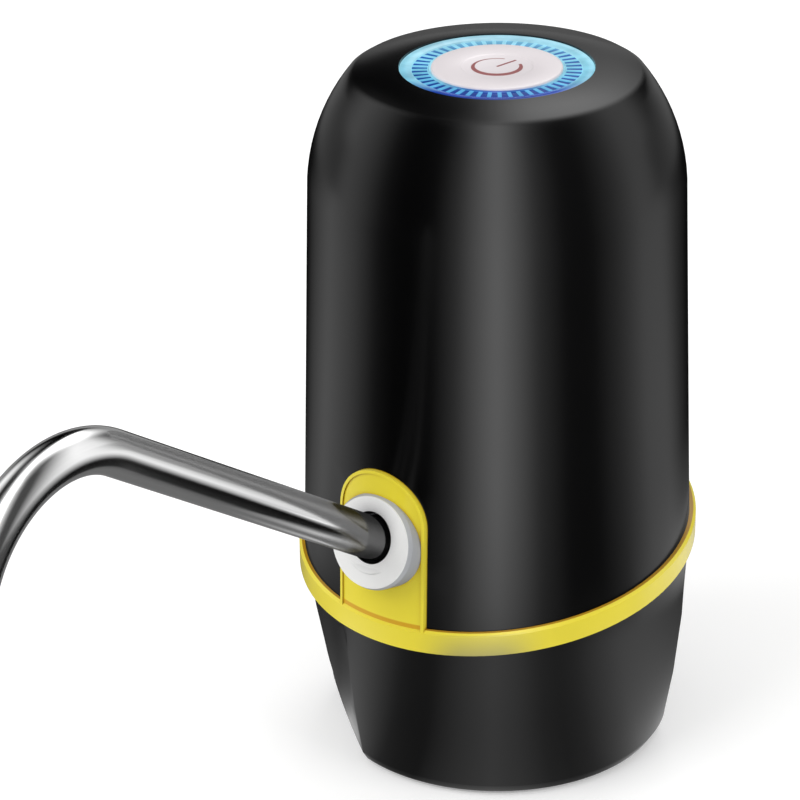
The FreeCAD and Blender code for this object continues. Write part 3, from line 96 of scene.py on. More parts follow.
def new_material(name):
    """Empty material with its shader, a maker of further nodes and a maker of links."""
    material = bpy.data.materials.new(name)
    material.use_nodes = True
    tree = material.node_tree
    return material, tree.nodes["Principled BSDF"], node_maker(tree), tree.links.new


def reckon(add, operation, *values):
    """Result of one operation on numbers or sockets."""
    return add("Math", dict(enumerate(values)), operation=operation).outputs[0]


def graded(add, value, low, high, first=0.0, last=1.0, **settings):
    """Level that goes from first to last while the value goes from low to high."""
    reach = {"Value": value, "From Min": low, "From Max": high, "To Min": first, "To Max": last}
    return add("MapRange", reach, **settings).outputs["Result"]


def seen_bright(add):
    """1 for what the lens, a polish or clear plastic shows, and 0 for the light on the pump."""
    seen = add("LightPath").outputs
    both = reckon(add, "MAXIMUM", seen["Is Camera Ray"], seen["Is Glossy Ray"])
    return reckon(add, "MAXIMUM", both, seen["Is Transmission Ray"])


floor_white = 0.86
floor_fibre = 0.985
floor_lift = 0.26
floor_half = 3.0
floor_level = -0.05 * mm
pale_board, shader, add, link = new_material("pale_board")
place = add("TexCoord").outputs["Object"]
fibre = add("TexNoise", {"Vector": place, "Scale": 60.0, "Detail": 4.0})
tint = add("ValToRGB", {"Fac": fibre.outputs["Fac"]})
tint.color_ramp.elements[0].color = (floor_white * floor_fibre,) * 3 + (1,)
tint.color_ramp.elements[1].color = (floor_white,) * 3 + (1,)
link(tint.outputs["Color"], shader.inputs["Base Color"])
link(reckon(add, "MULTIPLY", seen_bright(add), floor_lift), shader.inputs["Emission Strength"])
shader.inputs["Emission Color"].default_value = (1, 1, 1, 1)
shader.inputs["Roughness"].default_value = 0.9
shader.inputs["Specular IOR Level"].default_value = 0.1
floor_corners = [(x, y, floor_level) for x, y in ((-floor_half, -floor_half), (floor_half, -floor_half),
                                                  (floor_half, floor_half), (-floor_half, floor_half))]
floor = plain_mesh("floor", floor_corners, [(0, 1, 2, 3)], pale_board, smooth=False)

room_light = 0.62
room_white = 1.0
room = bpy.data.worlds.new("room")
scene.world = room
room.use_nodes = True
backdrop = room.node_tree.nodes["Background"]
backdrop.inputs["Color"].default_value = (1, 1, 1, 1)
add = node_maker(room.node_tree)
room_level = graded(add, seen_bright(add), 0.0, 1.0, room_light, room_white)
room.node_tree.links.new(room_level, backdrop.inputs["Strength"])

panel_aim = Vector((0, 0, 70)) * mm


def soft_panel(name, place, side, power):
    """Large square panel of light that faces the pump."""
    data = bpy.data.lights.new(name, "AREA")
    data.size = side
    data.energy = power
    lamp = bpy.data.objects.new(name, data)
    lamp.location = place
    lamp.rotation_euler = (Vector(place) - panel_aim).to_track_quat("Z", "Y").to_euler()
    lamp.visible_glossy = False
    scene.collection.objects.link(lamp)


soft_panel("key_panel", place=(-0.45, -1.05, 1.15), side=1.1, power=12.5)
soft_panel("side_panel", place=(1.25, 0.1, 0.8), side=0.9, power=6.0)
soft_panel("back_panel", place=(-0.3, 1.2, 1.0), side=1.0, power=5.5)

crown_level = 134 * mm
view_rise = radians(22)
view_way = Vector((cos(view_rise), 0, sin(view_rise)))
surround_bearing = radians(-54.5)
surround_steps = 180
surround_lift = 0.4
surround_width = 700
board_rows = (28, 40, 50, 62, 76, 92, 115, 150, 200, 260, 340, 450, 560, surround_width)
roof_rows = [(420, 1550), (150, 1650), (10, 1680)]
side_rows = (60, 130, 200, 270, 320, 350, 370, 390, 410, 440, 490, 570, 700, 900, 1300)
surround_rows = [(radius, surround_lift) for radius in board_rows]
surround_rows += [(surround_width, level) for level in side_rows]
surround_rows += roof_rows
plain_gloss = 0.034
least_facing = 0.05
crown_tilt = (15, 40)
# Listed tones of painted reflection that the casing's wall, its crown, the board by the foot and the
# base show by bearing.
wall_tones = [(-180, 0.0), (-90, 0.0), (-76, 0.001), (-66, 0.026), (-57, 0.044), (-45, 0.026),
              (-36, 0.003), (-30, 0.0), (-18, 0.0), (-11, 0.02), (0, 0.112), (11, 0.02), (19, 0.002),
              (28, 0.002), (36, 0.014), (46, 0.036), (56, 0.034), (65, 0.012), (75, 0.001), (90, 0.0),
              (180, 0.0)]
crown_tones = [(-180, 0.025), (-120, 0.004), (-95, 0.0), (-20, 0.0), (-4, 0.025), (14, 0.11),
               (45, 0.13), (75, 0.08), (120, 0.05), (180, 0.025)]
inner_share = 0.7
inner_reach = (80, 220)
foot_tones = [(-180, 0.2), (-120, 0.2), (-70, 0.15), (-30, 0.15), (-10, 0.12), (4, 0.02), (60, 0.0),
              (72, 0.3), (80, 1.25), (112, 1.25), (150, 0.4), (180, 0.2)]
foot_reach = (85, 125)
base_tones = [(-180, 0.04), (-75, 0.035), (-66, 0.022), (-58, 0.03), (-52, 0.05), (-46, 0.042),
              (-36, 0.02), (-31, 0.009), (-26, 0.0065), (-20, 0.006), (-9, 0.026), (-1, 0.038),
              (6, 0.028), (13, 0.014), (19, 0.01), (25, 0.013), (33, 0.025), (42, 0.038), (59, 0.045),
              (75, 0.05), (180, 0.05)]
near_lag = 1.5
near_rise = radians(30)
near_share = 0.8
near_fade = (40, 80)
horizon_tone = 0.3
horizon_start = (-15, -9)
horizon_end = (4, 9)
horizon_side = (95, 115)


def between(stops, spot):
    """Level at a spot on straight runs between stops."""
    for (low, first), (high, second) in zip(stops, stops[1:]):
        if spot <= high:
            return first + (second - first) * (spot - low) / (high - low)
    return stops[-1][1]


def eased(low, high, spot):
    """Share from 0 to 1 that starts and ends softly."""
    share = min(max((spot - low) / (high - low), 0), 1)
    return share * share * (3 - 2 * share)


def shine(facing):
    """Share of light that a black gloss mirrors: little where it faces the ray, all where the ray
    only grazes it."""
    return plain_gloss + (1 - plain_gloss) * (1 - max(facing, least_facing)) ** 5


def surround_tones(radius, level, bearing):
    """Glow of the surround at a place, for the tones of far pieces and of near ones. A black wall
    that faces halfway between the place and the camera shows the listed tone."""
    rise = max(atan2(level - crown_level / mm, radius), -view_rise)
    way = Vector((cos(rise) * cos(bearing), cos(rise) * sin(bearing), sin(rise)))
    facing = way + view_way
    turn = degrees(atan2(facing.y, facing.x))
    tilt = degrees(atan2(sqrt(facing.x ** 2 + facing.y ** 2), facing.z))
    upright = eased(*crown_tilt, tilt)
    tone = between(wall_tones, turn) * upright + between(crown_tones, turn) * (1 - upright)
    tone *= (inner_share + (1 - inner_share) * eased(*inner_reach, radius)) / shine(facing.length / 2)
    foot = 1 - eased(*foot_reach, radius) if level == surround_lift else 0
    tone += (between(foot_tones, degrees(bearing)) - tone) * foot
    horizon = eased(*horizon_start, degrees(rise)) * (1 - eased(*horizon_end, degrees(rise)))
    horizon *= eased(*horizon_side, abs(degrees(bearing)))
    tone += (horizon_tone - tone) * horizon
    near_turn = bearing / near_lag
    near_tone = between(base_tones, degrees(near_turn)) / shine(cos(near_turn) * cos(near_rise))
    return tone, near_tone * (near_share + (1 - near_share) * eased(*near_fade, radius))


near_reach = 62 * mm
far_reach = 88 * mm
surround_paint, shader, add, link = new_material("surround_paint")
far_tone = add("Attribute", attribute_name="tone").outputs["Fac"]
near_tone = add("Attribute", attribute_name="near_tone").outputs["Fac"]
share = graded(add, add("LightPath").outputs["Ray Length"], near_reach, far_reach)
glow = add("Mix", {"Factor": share, "A": near_tone, "B": far_tone})
shader.inputs["Base Color"].default_value = (0, 0, 0, 1)
shader.inputs["Specular IOR Level"].default_value = 0
shader.inputs["Emission Color"].default_value = (1, 1, 1, 1)
link(glow.outputs["Result"], shader.inputs["Emission Strength"])
places = []
levels = []
faces = []
for radius, level in surround_rows:
    for step in range(surround_steps + 1):
        bearing = pi * (2 * step / surround_steps - 1)
        angle = surround_bearing + bearing
        places.append((radius * mm * cos(angle), radius * mm * sin(angle), level * mm))
        levels.append(surround_tones(radius, level, bearing))
for row in range(len(surround_rows) - 1):
    for step in range(surround_steps):
        first = row * (surround_steps + 1) + step
        faces.append((first, first + 1, first + surround_steps + 2, first + surround_steps + 1))
surround = plain_mesh("surround", places, faces, surround_paint)
for name, tones in zip(("tone", "near_tone"), zip(*levels)):
    surround.data.attributes.new(name, "FLOAT", "POINT").data.foreach_set("value", tones)
surround.visible_camera = False
surround.visible_diffuse = False
surround.visible_transmission = False
surround.visible_shadow = False


# Base: a hollow barrel in satin black plastic with two flat grips, moulded in one piece. It
# drops over the bottle's neck, and the works stand on its deck. The barrel is drawn in towards
# its foot, and the slope of that draw shades it.

noise_span = (0.3, 0.7)
fine_grain = 2600.0


def shader_group(name, *inputs):
    """New group of shader nodes with its inputs, each a name and a kind, and the three outputs of a
    finish. Gives the group, a maker of nodes and the given values."""
    group = bpy.data.node_groups.new(name, "ShaderNodeTree")
    for socket, kind in inputs:
        group.interface.new_socket(socket, in_out="INPUT", socket_type="NodeSocket" + kind)
    for socket, kind in (("Colour", "Color"), ("Roughness", "Float"), ("Height", "Float")):
        group.interface.new_socket(socket, in_out="OUTPUT", socket_type="NodeSocket" + kind)
    add = node_maker(group)
    return group, add, add("NodeGroupInput").outputs


def skin_group():
    """Fine moulded skin: a faint cloud in the colour and gloss, and a low grain for the bump."""
    group, add, given = shader_group("moulded_skin", ("Colour", "Color"), ("Roughness", "Float"),
                                     ("Grain Scale", "Float"), ("Cloud", "Float"))
    place = add("TexCoord").outputs["Object"]
    cloud = add("TexNoise", {"Vector": place, "Scale": 45.0, "Detail": 3.0})
    swing = graded(add, cloud.outputs["Fac"], *noise_span, -1.0, 1.0)
    amount = reckon(add, "MULTIPLY_ADD", swing, given["Cloud"], 1.0)
    shade = add("HueSaturation", {"Color": given["Colour"], "Value": amount})
    rough = reckon(add, "MULTIPLY", given["Roughness"], amount)
    grain = add("TexNoise", {"Vector": place, "Scale": given["Grain Scale"], "Detail": 2.0})
    add("NodeGroupOutput", {"Colour": shade.outputs["Color"], "Roughness": rough,
                            "Height": grain.outputs["Fac"]})
    return group


moulded_skin = skin_group()


def skinned(colour, roughness, cloud, add, grain=fine_grain):
    """Moulded skin with its own colour, gloss, cloud and grain."""
    given = {"Colour": (*colour, 1), "Roughness": roughness, "Grain Scale": grain, "Cloud": cloud}
    return add("Group", given, node_tree=moulded_skin).outputs


def blend(add, share, first, second):
    """Colour that goes from the first to the second as the share goes from 0 to 1."""
    return add("Mix", {"Factor": share, "A": first, "B": second}, data_type="RGBA").outputs["Result"]


def finish(skin, colour, mirrored, shader, add, link, strength, depth):
    """Give a shader the colour, a skin's gloss and grain, and the tone that the piece shows in
    another piece's polish, which is painted reflection where it differs from the colour."""
    in_polish = add("LightPath").outputs["Is Glossy Ray"]
    link(blend(add, in_polish, colour, (*mirrored, 1)), shader.inputs["Base Color"])
    link(skin["Roughness"], shader.inputs["Roughness"])
    bump = add("Bump", {"Height": skin["Height"], "Strength": strength, "Distance": depth * mm})
    link(bump.outputs["Normal"], shader.inputs["Normal"])


def moulded(name, colour, roughness, grain=fine_grain, cloud=0.06, depth=0.004, mirrored=None,
            **shader_values):
    """Moulded plastic or rubber with its own colour, gloss and grain."""
    material, shader, add, link = new_material(name)
    skin = skinned(colour, roughness, cloud, add, grain)
    finish(skin, skin["Colour"], mirrored or colour, shader, add, link, strength=0.25, depth=depth)
    for socket, setting in shader_values.items():
        shader.inputs[socket.replace("_", " ")].default_value = setting
    return material


def dress(material, *names):
    """Give the finish to pieces that keep their own shape."""
    for name in names:
        for slot in nodes[name].material_slots:
            slot.material = material


# The black shows grey in other pieces' polish: painted reflection.
satin_black = moulded("satin_black", (0.0012, 0.0012, 0.0013), 0.2, mirrored=(0.15, 0.15, 0.15),
                      Specular_IOR_Level=0.42)


def face_outward(piece, crease, gap=0):
    """Join points closer than the gap, turn all faces outward and keep edges sharp that bend by
    more than the crease."""
    shaped = bmesh.new()
    shaped.from_mesh(piece.data)
    if gap:
        bmesh.ops.remove_doubles(shaped, verts=shaped.verts, dist=gap)
    bmesh.ops.recalc_face_normals(shaped, faces=shaped.faces)
    shaped.to_mesh(piece.data)
    shaped.free()
    piece.data.set_sharp_from_angle(angle=radians(crease))


join_gap = 0.002 * mm


def joined_copy(name, source, material, crease, reshape=None):
    """Copy of a solid's mesh with its loose triangles joined, reshaped if asked and smoothly
    shaded."""
    shaped = bmesh.new()
    shaped.from_mesh(nodes[source].data)
    shaped.transform(nodes[source].matrix_world)
    bmesh.ops.remove_doubles(shaped, verts=shaped.verts, dist=join_gap)
    if reshape:
        reshape(shaped)
    mesh = bpy.data.meshes.new(name)
    shaped.to_mesh(mesh)
    shaped.free()
    mesh.shade_smooth()
    mesh.materials.clear()
    mesh.materials.append(material)
    mesh.polygons.foreach_set("material_index", [0] * len(mesh.polygons))
    piece = bpy.data.objects.new(name, mesh)
    scene.collection.objects.link(piece)
    face_outward(piece, crease)
    return piece


base_top_level = 38.2 * mm
base_draw = 4.05 * mm
barrel_inside = 31 * mm
barrel_rim = 2.35 * mm
level_face = 0.5
grip_bearings = (radians(49), radians(49 + 180))
grip_reach = radians(25.9)
base = joined_copy("base", "base_shell", satin_black, crease=18)
base_normals = [tuple(corner.vector) for corner in base.data.corner_normals]
for face in base.data.polygons:
    middle = face.center
    bearing = atan2(middle.y, middle.x)
    aside = min(abs((bearing - grip + pi) % (2 * pi) - pi) for grip in grip_bearings)
    upright = face.normal.dot(middle) > 0 and abs(face.normal.z) < level_face
    if upright and middle.xy.length > barrel_inside and middle.z > barrel_rim and aside > grip_reach:
        for loop in face.loop_indices:
            corner = base.data.vertices[base.data.loops[loop].vertex_index].co
            slope = 2 * base_draw * max(1 - corner.z / base_top_level, 0) / base_top_level
            outward = Vector((corner.x, corner.y, -slope * corner.xy.length))
            base_normals[loop] = tuple(outward.normalized())
base.data.normals_split_custom_set(base_normals)
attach(base, "housing")
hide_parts("base_shell")


# Intake and pump block: grey-black mouldings pressed and screwed together on the deck, with the
# two gears of acetal resin in their chamber and soft seals of clear silicone.

works_plastic = moulded("works_moulding", (0.035, 0.036, 0.04), 0.5)
dress(works_plastic, "intake_nipple", "pump_housing", "pump_cover")
acetal = moulded("acetal", (0.78, 0.76, 0.68), 0.4)
dress(acetal, "drive_gear", "idler_gear")
clear_silicone = moulded("silicone", (0.72, 0.74, 0.72), 0.45)
dress(clear_silicone, "shaft_seal", "outlet_tube")


tone_swing = (0.94, 1.0)
gloss_swing = (0.8, 1.3)


def drawn_group():
    """Drawn or rolled metal: fine lines along one way that change the gloss and tone a little."""
    group, add, given = shader_group("drawn_lines", ("Vector", "Vector"), ("Colour", "Color"),
                                     ("Roughness", "Float"), ("Stretch", "Vector"))
    stretched = add("VectorMath", {0: given["Vector"], 1: given["Stretch"]}, operation="MULTIPLY")
    noise = add("TexNoise", {"Vector": stretched.outputs["Vector"], "Scale": 1.0, "Detail": 3.0})
    lines = noise.outputs["Fac"]
    tone = graded(add, lines, *noise_span, *tone_swing)
    shade = add("HueSaturation", {"Color": given["Colour"], "Value": tone})
    rough = reckon(add, "MULTIPLY", graded(add, lines, *noise_span, *gloss_swing), given["Roughness"])
    add("NodeGroupOutput", {"Colour": shade.outputs["Color"], "Roughness": rough, "Height": lines})
    return group


drawn_lines = drawn_group()


def metal(name, colour, roughness, stretch, mapped=False, depth=0.002, mirrored=None):
    """Metal with drawn lines, on the piece's own place or, if mapped, on its own UV map."""
    material, shader, add, link = new_material(name)
    place = add("TexCoord").outputs["UV" if mapped else "Object"]
    given = {"Vector": place, "Colour": (*colour, 1), "Roughness": roughness, "Stretch": stretch}
    lines = add("Group", given, node_tree=drawn_lines).outputs
    finish(lines, lines["Colour"], mirrored or colour, shader, add, link, strength=0.3, depth=depth)
    shader.inputs["Metallic"].default_value = 1.0
    return material


plated_steel = metal("plated_steel", (0.62, 0.62, 0.63), 0.3, (900, 900, 60))
dress(plated_steel, "idler_pin", "pump_screws")


# Chassis: one grey-black moulding that bridges the pump block on four legs and carries the
# motor, the cell's cradle and the charging board.

dress(works_plastic, "chassis")


# Motor: a drawn steel can with two magnets inside, a laminated rotor on a ground shaft, a brass
# commutator with carbon brushes, and a moulded end cap with brass terminals.

dress(plated_steel, "motor_can", "rotor_core", "motor_shaft", "motor_screws")
dress(works_plastic, "motor_end_cap")
magnet_dust = moulded("sintered_magnet", (0.04, 0.04, 0.042), 0.6)
dress(magnet_dust, "motor_magnets", "motor_brushes")
brass = metal("brass", (0.75, 0.52, 0.2), 0.3, (900, 900, 60))
dress(brass, "commutator", "motor_terminals")


# Cell: a round lithium cell in a shrunk blue sleeve with nickel strips welded to its ends, under
# a block of foam, and the red leads that rise to the control board.

cell_sleeve = moulded("cell_sleeve", (0.03, 0.12, 0.3), 0.35)
dress(cell_sleeve, "battery_cell")
nickel = metal("nickel", (0.66, 0.63, 0.58), 0.25, (60, 900, 900))
dress(nickel, "battery_tabs")
foam = moulded("foam_rubber", (0.03, 0.03, 0.032), 0.9, grain=900.0, depth=0.08)
dress(foam, "battery_pad")
lead_plastic = moulded("lead_insulation", (0.35, 0.02, 0.02), 0.45)
dress(lead_plastic, "motor_leads", "battery_leads", "charge_leads")


# Charging board: a small green board on two posts, with the nickel-plated shell of the charging
# socket and its black contact tongue in the casing's window.

board_mask = moulded("board_mask", (0.01, 0.09, 0.035), 0.35)
dress(board_mask, "charge_board")
dress(plated_steel, "charge_board_screws")
dress(nickel, "usb_socket")
switch_plastic = moulded("switch_plastic", (0.05, 0.05, 0.055), 0.45)
dress(switch_plastic, "usb_tongue")


# Trim ring: one moulding under a bright yellow lacquer, the slanted band round the pump and the
# arched plate under the spout. Darker gold is painted in as painted shade in its inner corners,
# where the casing and the plate meet the band, along the band's top by the casing and on the
# ledge under the plate, and the band's front is painted dull olive as painted reflection.

def dot(add, place, way):
    """Distance of a place along a way."""
    return add("VectorMath", {0: place, 1: way}, operation="DOT_PRODUCT").outputs["Value"]


def product(add, first, *others):
    """Result of sockets multiplied in turn."""
    for other in others:
        first = reckon(add, "MULTIPLY", first, other)
    return first


bright_yellow = (0.79, 0.665, 0.034)
# The yellow shows dark in other pieces' polish: painted reflection.
yellow_in_polish = (0.03, 0.025, 0.004)
# Golds of painted shade and an olive of painted reflection.
painted_corner_shade = (0.58, 0.36, 0.008, 1)
painted_ledge_shade = (0.66, 0.36, 0.006, 1)
painted_seam_shade = (0.5, 0.26, 0.006, 1)
painted_reflection_olive = (0.33, 0.3, 0.09, 1)
corner_reach = 1.3 * mm
corner_span = (0.45, 0.85)
band_slope = tan(radians(8.5))
band_top = 42.6 * mm
ledge_foot = 0.05 * mm
ledge_top = (0.75 * mm, 0.95 * mm)
plate_front = -30 * mm
plate_half = 9.05 * mm
wall_radius = 37.6 * mm
seam_depth = 0.15 * mm
reflection_way = (0.814, 0.581, 0)
reflection_middle = -3 * mm
reflection_side = (3 * mm, 13 * mm)
reflection_share = 0.85
reflection_front = -12 * mm
reflection_depths = (4.4 * mm, 0.4 * mm)
reflection_fade = 0.35
reflection_edge = 0.3 * mm
yellow_lacquer, shader, add, link = new_material("yellow_lacquer")
skin = skinned(bright_yellow, 0.26, 0.03, add)
# Darker gold in the inner corners, from ambient occlusion: painted shade.
corner_shade = add("AmbientOcclusion", {"Distance": corner_reach}, samples=8).outputs["AO"]
coat = blend(add, graded(add, corner_shade, *corner_span), painted_corner_shade, skin["Colour"])
place = add("TexCoord").outputs["Object"]
apart = add("SeparateXYZ", {"Vector": place}).outputs
over_band = dot(add, place, (0, -band_slope, 1))

# Olive on the band's front, where it mirrors dark: painted reflection.
across = reckon(add, "SUBTRACT", dot(add, place, reflection_way), reflection_middle)
across = reckon(add, "ABSOLUTE", across)
dark_reflection = graded(add, across, *reflection_side, reflection_share, 0.0, interpolation_type="SMOOTHSTEP")
ahead = reckon(add, "LESS_THAN", apart["Y"], reflection_front)
low = graded(add, over_band, *(band_top - depth for depth in reflection_depths), 1.0, reflection_fade)
below = reckon(add, "LESS_THAN", over_band, band_top - reflection_edge)
coat = blend(add, product(add, dark_reflection, ahead, low, below), coat, painted_reflection_olive)

# A darker gold line along the band's top by the casing: painted shade.
flat = add("VectorMath", {0: place, 1: (1, 1, 0)}, operation="MULTIPLY").outputs["Vector"]
reach = add("VectorMath", {0: flat}, operation="LENGTH").outputs["Value"]
by_wall = reckon(add, "LESS_THAN", reach, wall_radius)
at_top = reckon(add, "COMPARE", over_band, band_top, seam_depth)
coat = blend(add, product(add, by_wall, at_top), coat, painted_seam_shade)

# Orange gold on the ledge between the plate and the band: painted shade.
under = graded(add, over_band, *(band_top + height for height in ledge_top), 1.0, 0.0)
above = graded(add, over_band, band_top - ledge_foot, band_top)
front = reckon(add, "LESS_THAN", apart["Y"], plate_front)
inside = reckon(add, "LESS_THAN", reckon(add, "ABSOLUTE", apart["X"]), plate_half)
coat = blend(add, product(add, under, above, front, inside), coat, painted_ledge_shade)
finish(skin, coat, yellow_in_polish, shader, add, link, strength=0.2, depth=0.002)
shader.inputs["Coat Weight"].default_value = 0.5
shader.inputs["Coat Roughness"].default_value = 0.15
dress(yellow_lacquer, "trim_ring")


# Spout socket and collar: a black barrel and a black rubber sleeve in the boss hold the spout,
# and a white turned bezel leans back on the arched plate round the hole.

dress(works_plastic, "spout_socket")
black_rubber = moulded("black_rubber", (0.006, 0.006, 0.006), 0.6)
dress(black_rubber, "spout_seal")
spout_rise = radians(33.4)
spout_entry = Vector((0, -37.213, 53.186)) * mm
forward = Vector((0, -cos(spout_rise), sin(spout_rise)))
# Radius and near black of painted shade in the bezel's bore.
bore_shade_radius = 4.66 * mm
painted_bore_shade = (0.004, 0.004, 0.004, 1)
collar_lean = radians(15)
collar_way = (0, -cos(collar_lean), sin(collar_lean))
collar_height = 2.8 * mm
collar_edge = (0.22 * mm, 0.1 * mm)
# Greys of painted shade on the bezel's side and in its nook by the plate.
painted_flank_shade = (0.4, 0.41, 0.43, 1)
painted_nook_shade = (0.26, 0.26, 0.27, 1)
nook_reach = 5.0 * mm
nook_span = (0.4, 0.82)
turned_white = (0.8, 0.8, 0.79)
# The white shows near black in other pieces' polish: painted reflection.
white_in_polish = (0.02, 0.02, 0.02)
collar_white, shader, add, link = new_material("collar_white")
skin = skinned(turned_white, 0.3, 0.015, add)
# Grey in the nook by the plate, from ambient occlusion: painted shade.
nook_shade = add("AmbientOcclusion", {"Distance": nook_reach}, samples=8).outputs["AO"]
tint = blend(add, graded(add, nook_shade, *nook_span), painted_nook_shade, skin["Colour"])
place = add("TexCoord").outputs["Object"]
reach = add("VectorMath", {0: place, 1: spout_entry}, operation="SUBTRACT").outputs["Vector"]
# Grey on the bezel's side wall: painted shade.
height = dot(add, reach, collar_way)
flank = graded(add, height, *(collar_height - edge for edge in collar_edge), 1.0, 0.0)
tint = blend(add, flank, tint, painted_flank_shade)
# Near black in the bore round the spout: painted shade.
off_axis = add("VectorMath", {0: reach, 1: forward}, operation="CROSS_PRODUCT").outputs["Vector"]
distance = add("VectorMath", {0: off_axis}, operation="LENGTH").outputs["Value"]
tint = blend(add, reckon(add, "LESS_THAN", distance, bore_shade_radius), tint, painted_bore_shade)
finish(skin, tint, white_in_polish, shader, add, link, strength=0.2, depth=0.002)
dress(collar_white, "spout_collar")


# Spout: a thin steel tube, bent once and polished along its length. Its plain inner end slides
# into the rubber sleeve, and both ends are deburred to a small round.

spout_depth = 16.0 * mm
spout_reach = 83.2 * mm
spout_bend = 22.9 * mm
spout_turn = radians(115)
spout_end = 20.0 * mm
spout_radius = 4.0 * mm
spout_wall = 0.6 * mm
spout_lip = 0.18 * mm
lip_steps = 4
bend_steps = 48
round_steps = 96
map_length = 25 * mm
straight_stops = (12 * mm, spout_depth, 40 * mm, 70 * mm)
downward = Vector((0, -sin(spout_rise), -cos(spout_rise)))
sideways = Vector((1, 0, 0))
spout_straight = spout_depth + spout_reach
spout_arc = spout_bend * spout_turn
spout_length = spout_straight + spout_arc + spout_end


def spout_station(length):
    """Point and direction on the spout's middle line, at a length from its inner end."""
    if length <= spout_straight:
        return spout_entry + forward * (length - spout_depth), forward
    angle = min((length - spout_straight) / spout_bend, spout_turn)
    centre = spout_entry + forward * spout_reach + downward * spout_bend
    way = downward * sin(angle) + forward * cos(angle)
    arc_place = centre + (forward * sin(angle) - downward * cos(angle)) * spout_bend
    return arc_place + way * max(length - spout_straight - spout_arc, 0), way


def rounded_lip(low, outward):
    """Stations and radii of one end's small round, from the end's face to the wall."""
    steps = [pi / 2 * step / lip_steps for step in range(lip_steps)]
    return [(low + outward * spout_lip * (1 - cos(step)), spout_radius - spout_lip * (1 - sin(step)))
            for step in steps]


def ring_faces(rows, steps):
    """Faces between rings of points, each joined to the next and the last to the first."""
    faces = []
    for row in range(rows):
        first, second = row * steps, (row + 1) % rows * steps
        for step in range(steps):
            beside = (step + 1) % steps
            faces.append((first + step, first + beside, second + beside, second + step))
    return faces


stops = [spout_lip, *straight_stops, spout_straight]
stops += [spout_straight + spout_arc * step / bend_steps for step in range(1, bend_steps + 1)]
stops += [spout_length - spout_end / 2, spout_length - spout_lip]
rows = rounded_lip(0, 1) + [(stop, spout_radius) for stop in stops]
rows += list(reversed(rounded_lip(spout_length, -1)))
rows += [(stop, spout_radius - spout_wall) for stop in (spout_length, *reversed(stops), 0)]
places = []
for length, radius in rows:
    centre, way = spout_station(length)
    up = sideways.cross(way)
    for step in range(round_steps):
        angle = 2 * pi * step / round_steps
        places.append(centre + (sideways * cos(angle) + up * sin(angle)) * radius)
# The steel shows dark grey in other pieces' polish: painted reflection.
spout_steel = metal("polished_steel", (0.96, 0.96, 0.96), 0.12, (420, 4, 1), mapped=True, depth=0.0006,
                    mirrored=(0.1, 0.1, 0.1))
spout = plain_mesh("polished_spout", places, ring_faces(len(rows), round_steps), spout_steel)
lengthwise = spout.data.uv_layers.new(name="lengthwise")
for face in spout.data.polygons:
    row, step = divmod(face.index, round_steps)
    for turn, loop in enumerate(face.loop_indices):
        across = (step + (turn in (1, 2))) / round_steps
        along = rows[(row + (turn > 1)) % len(rows)][0] / map_length
        lengthwise.data[loop].uv = (across, along)
face_outward(spout, crease=40)
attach(spout, "spout")
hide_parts("spout_tube")


# Casing: one satin black moulding, drawn in a little to its round shoulder. The crown falls a
# little from the lit ring to its edge. The casing slides down over the works and sits on
# the trim ring.

crown_fall = 0.7 * mm
crown_edge = 25 * mm
crown_flat = 0.01 * mm


def lower_crown_edge(shaped):
    """Let the crown fall from the lit ring to its edge."""
    for corner in shaped.verts:
        if corner.co.z > crown_level - crown_flat and corner.co.xy.length > crown_edge:
            corner.co.z -= crown_fall


casing = joined_copy("casing", "body_shell", satin_black, crease=30, reshape=lower_crown_edge)
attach(casing, "housing")
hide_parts("body_shell")


# Control board: a green board under the crown with the push switch in its middle and eight
# lamps in a circle.

dress(board_mask, "control_board")
dress(plated_steel, "board_screws")
dress(switch_plastic, "tact_switch", "switch_plunger")
lamp_body = moulded("lamp_body", (0.85, 0.85, 0.78), 0.35)
dress(lamp_body, "led_set")


# Lit ring: a clear moulding that spreads the lamps' blue light. A shallow channel between two
# bright lips holds short radial ribs, and a flange keeps the ring under the crown.

pole_gap = 0.001 * mm


def lathe(name, outline, material, steps=192):
    """Solid turned about the pump's axis from a closed outline of radius and height in mm."""
    places = []
    for radius, level in outline:
        for step in range(steps):
            angle = 2 * pi * step / steps
            places.append((radius * mm * cos(angle), radius * mm * sin(angle), level * mm))
    piece = plain_mesh(name, places, ring_faces(len(outline), steps), material)
    face_outward(piece, crease=50, gap=pole_gap)
    return piece


# The glow pales from the front to the back: partly the lamps' light, partly painted reflection.
glow_and_reflection_way = (-0.58, 0.81, 0.0)
glow_half = 17.7 * mm
glow_swing = (0.75, 1.1)
channel_inside = 12.6
channel_outside = 15.4
channel_level = 133.4
flange_level = 132


def lit(name, strength, *stops):
    """Clear lit plastic whose glow runs from the pump's front to its back through the stops; the paler
    stops at the back are painted reflection.
    """
    material, shader, add, link = new_material(name)
    place = add("TexCoord").outputs["Object"]
    along = dot(add, place, glow_and_reflection_way)
    glow = add("ValToRGB", {"Fac": graded(add, along, -glow_half, glow_half)})
    ramp = glow.color_ramp
    ramp.elements[0].position, ramp.elements[0].color = stops[0][0], (*stops[0][1], 1)
    ramp.elements[1].position, ramp.elements[1].color = stops[-1][0], (*stops[-1][1], 1)
    for spot, colour in stops[1:-1]:
        ramp.elements.new(spot).color = (*colour, 1)
    cloud = add("TexNoise", {"Vector": place, "Scale": 260.0, "Detail": 2.0})
    level = graded(add, cloud.outputs["Fac"], *noise_span, *glow_swing)
    shade = add("HueSaturation", {"Color": glow.outputs["Color"], "Value": level})
    link(shade.outputs["Color"], shader.inputs["Emission Color"])
    shader.inputs["Base Color"].default_value = (0.004, 0.02, 0.05, 1)
    shader.inputs["Emission Strength"].default_value = strength
    shader.inputs["Roughness"].default_value = 0.18
    return material


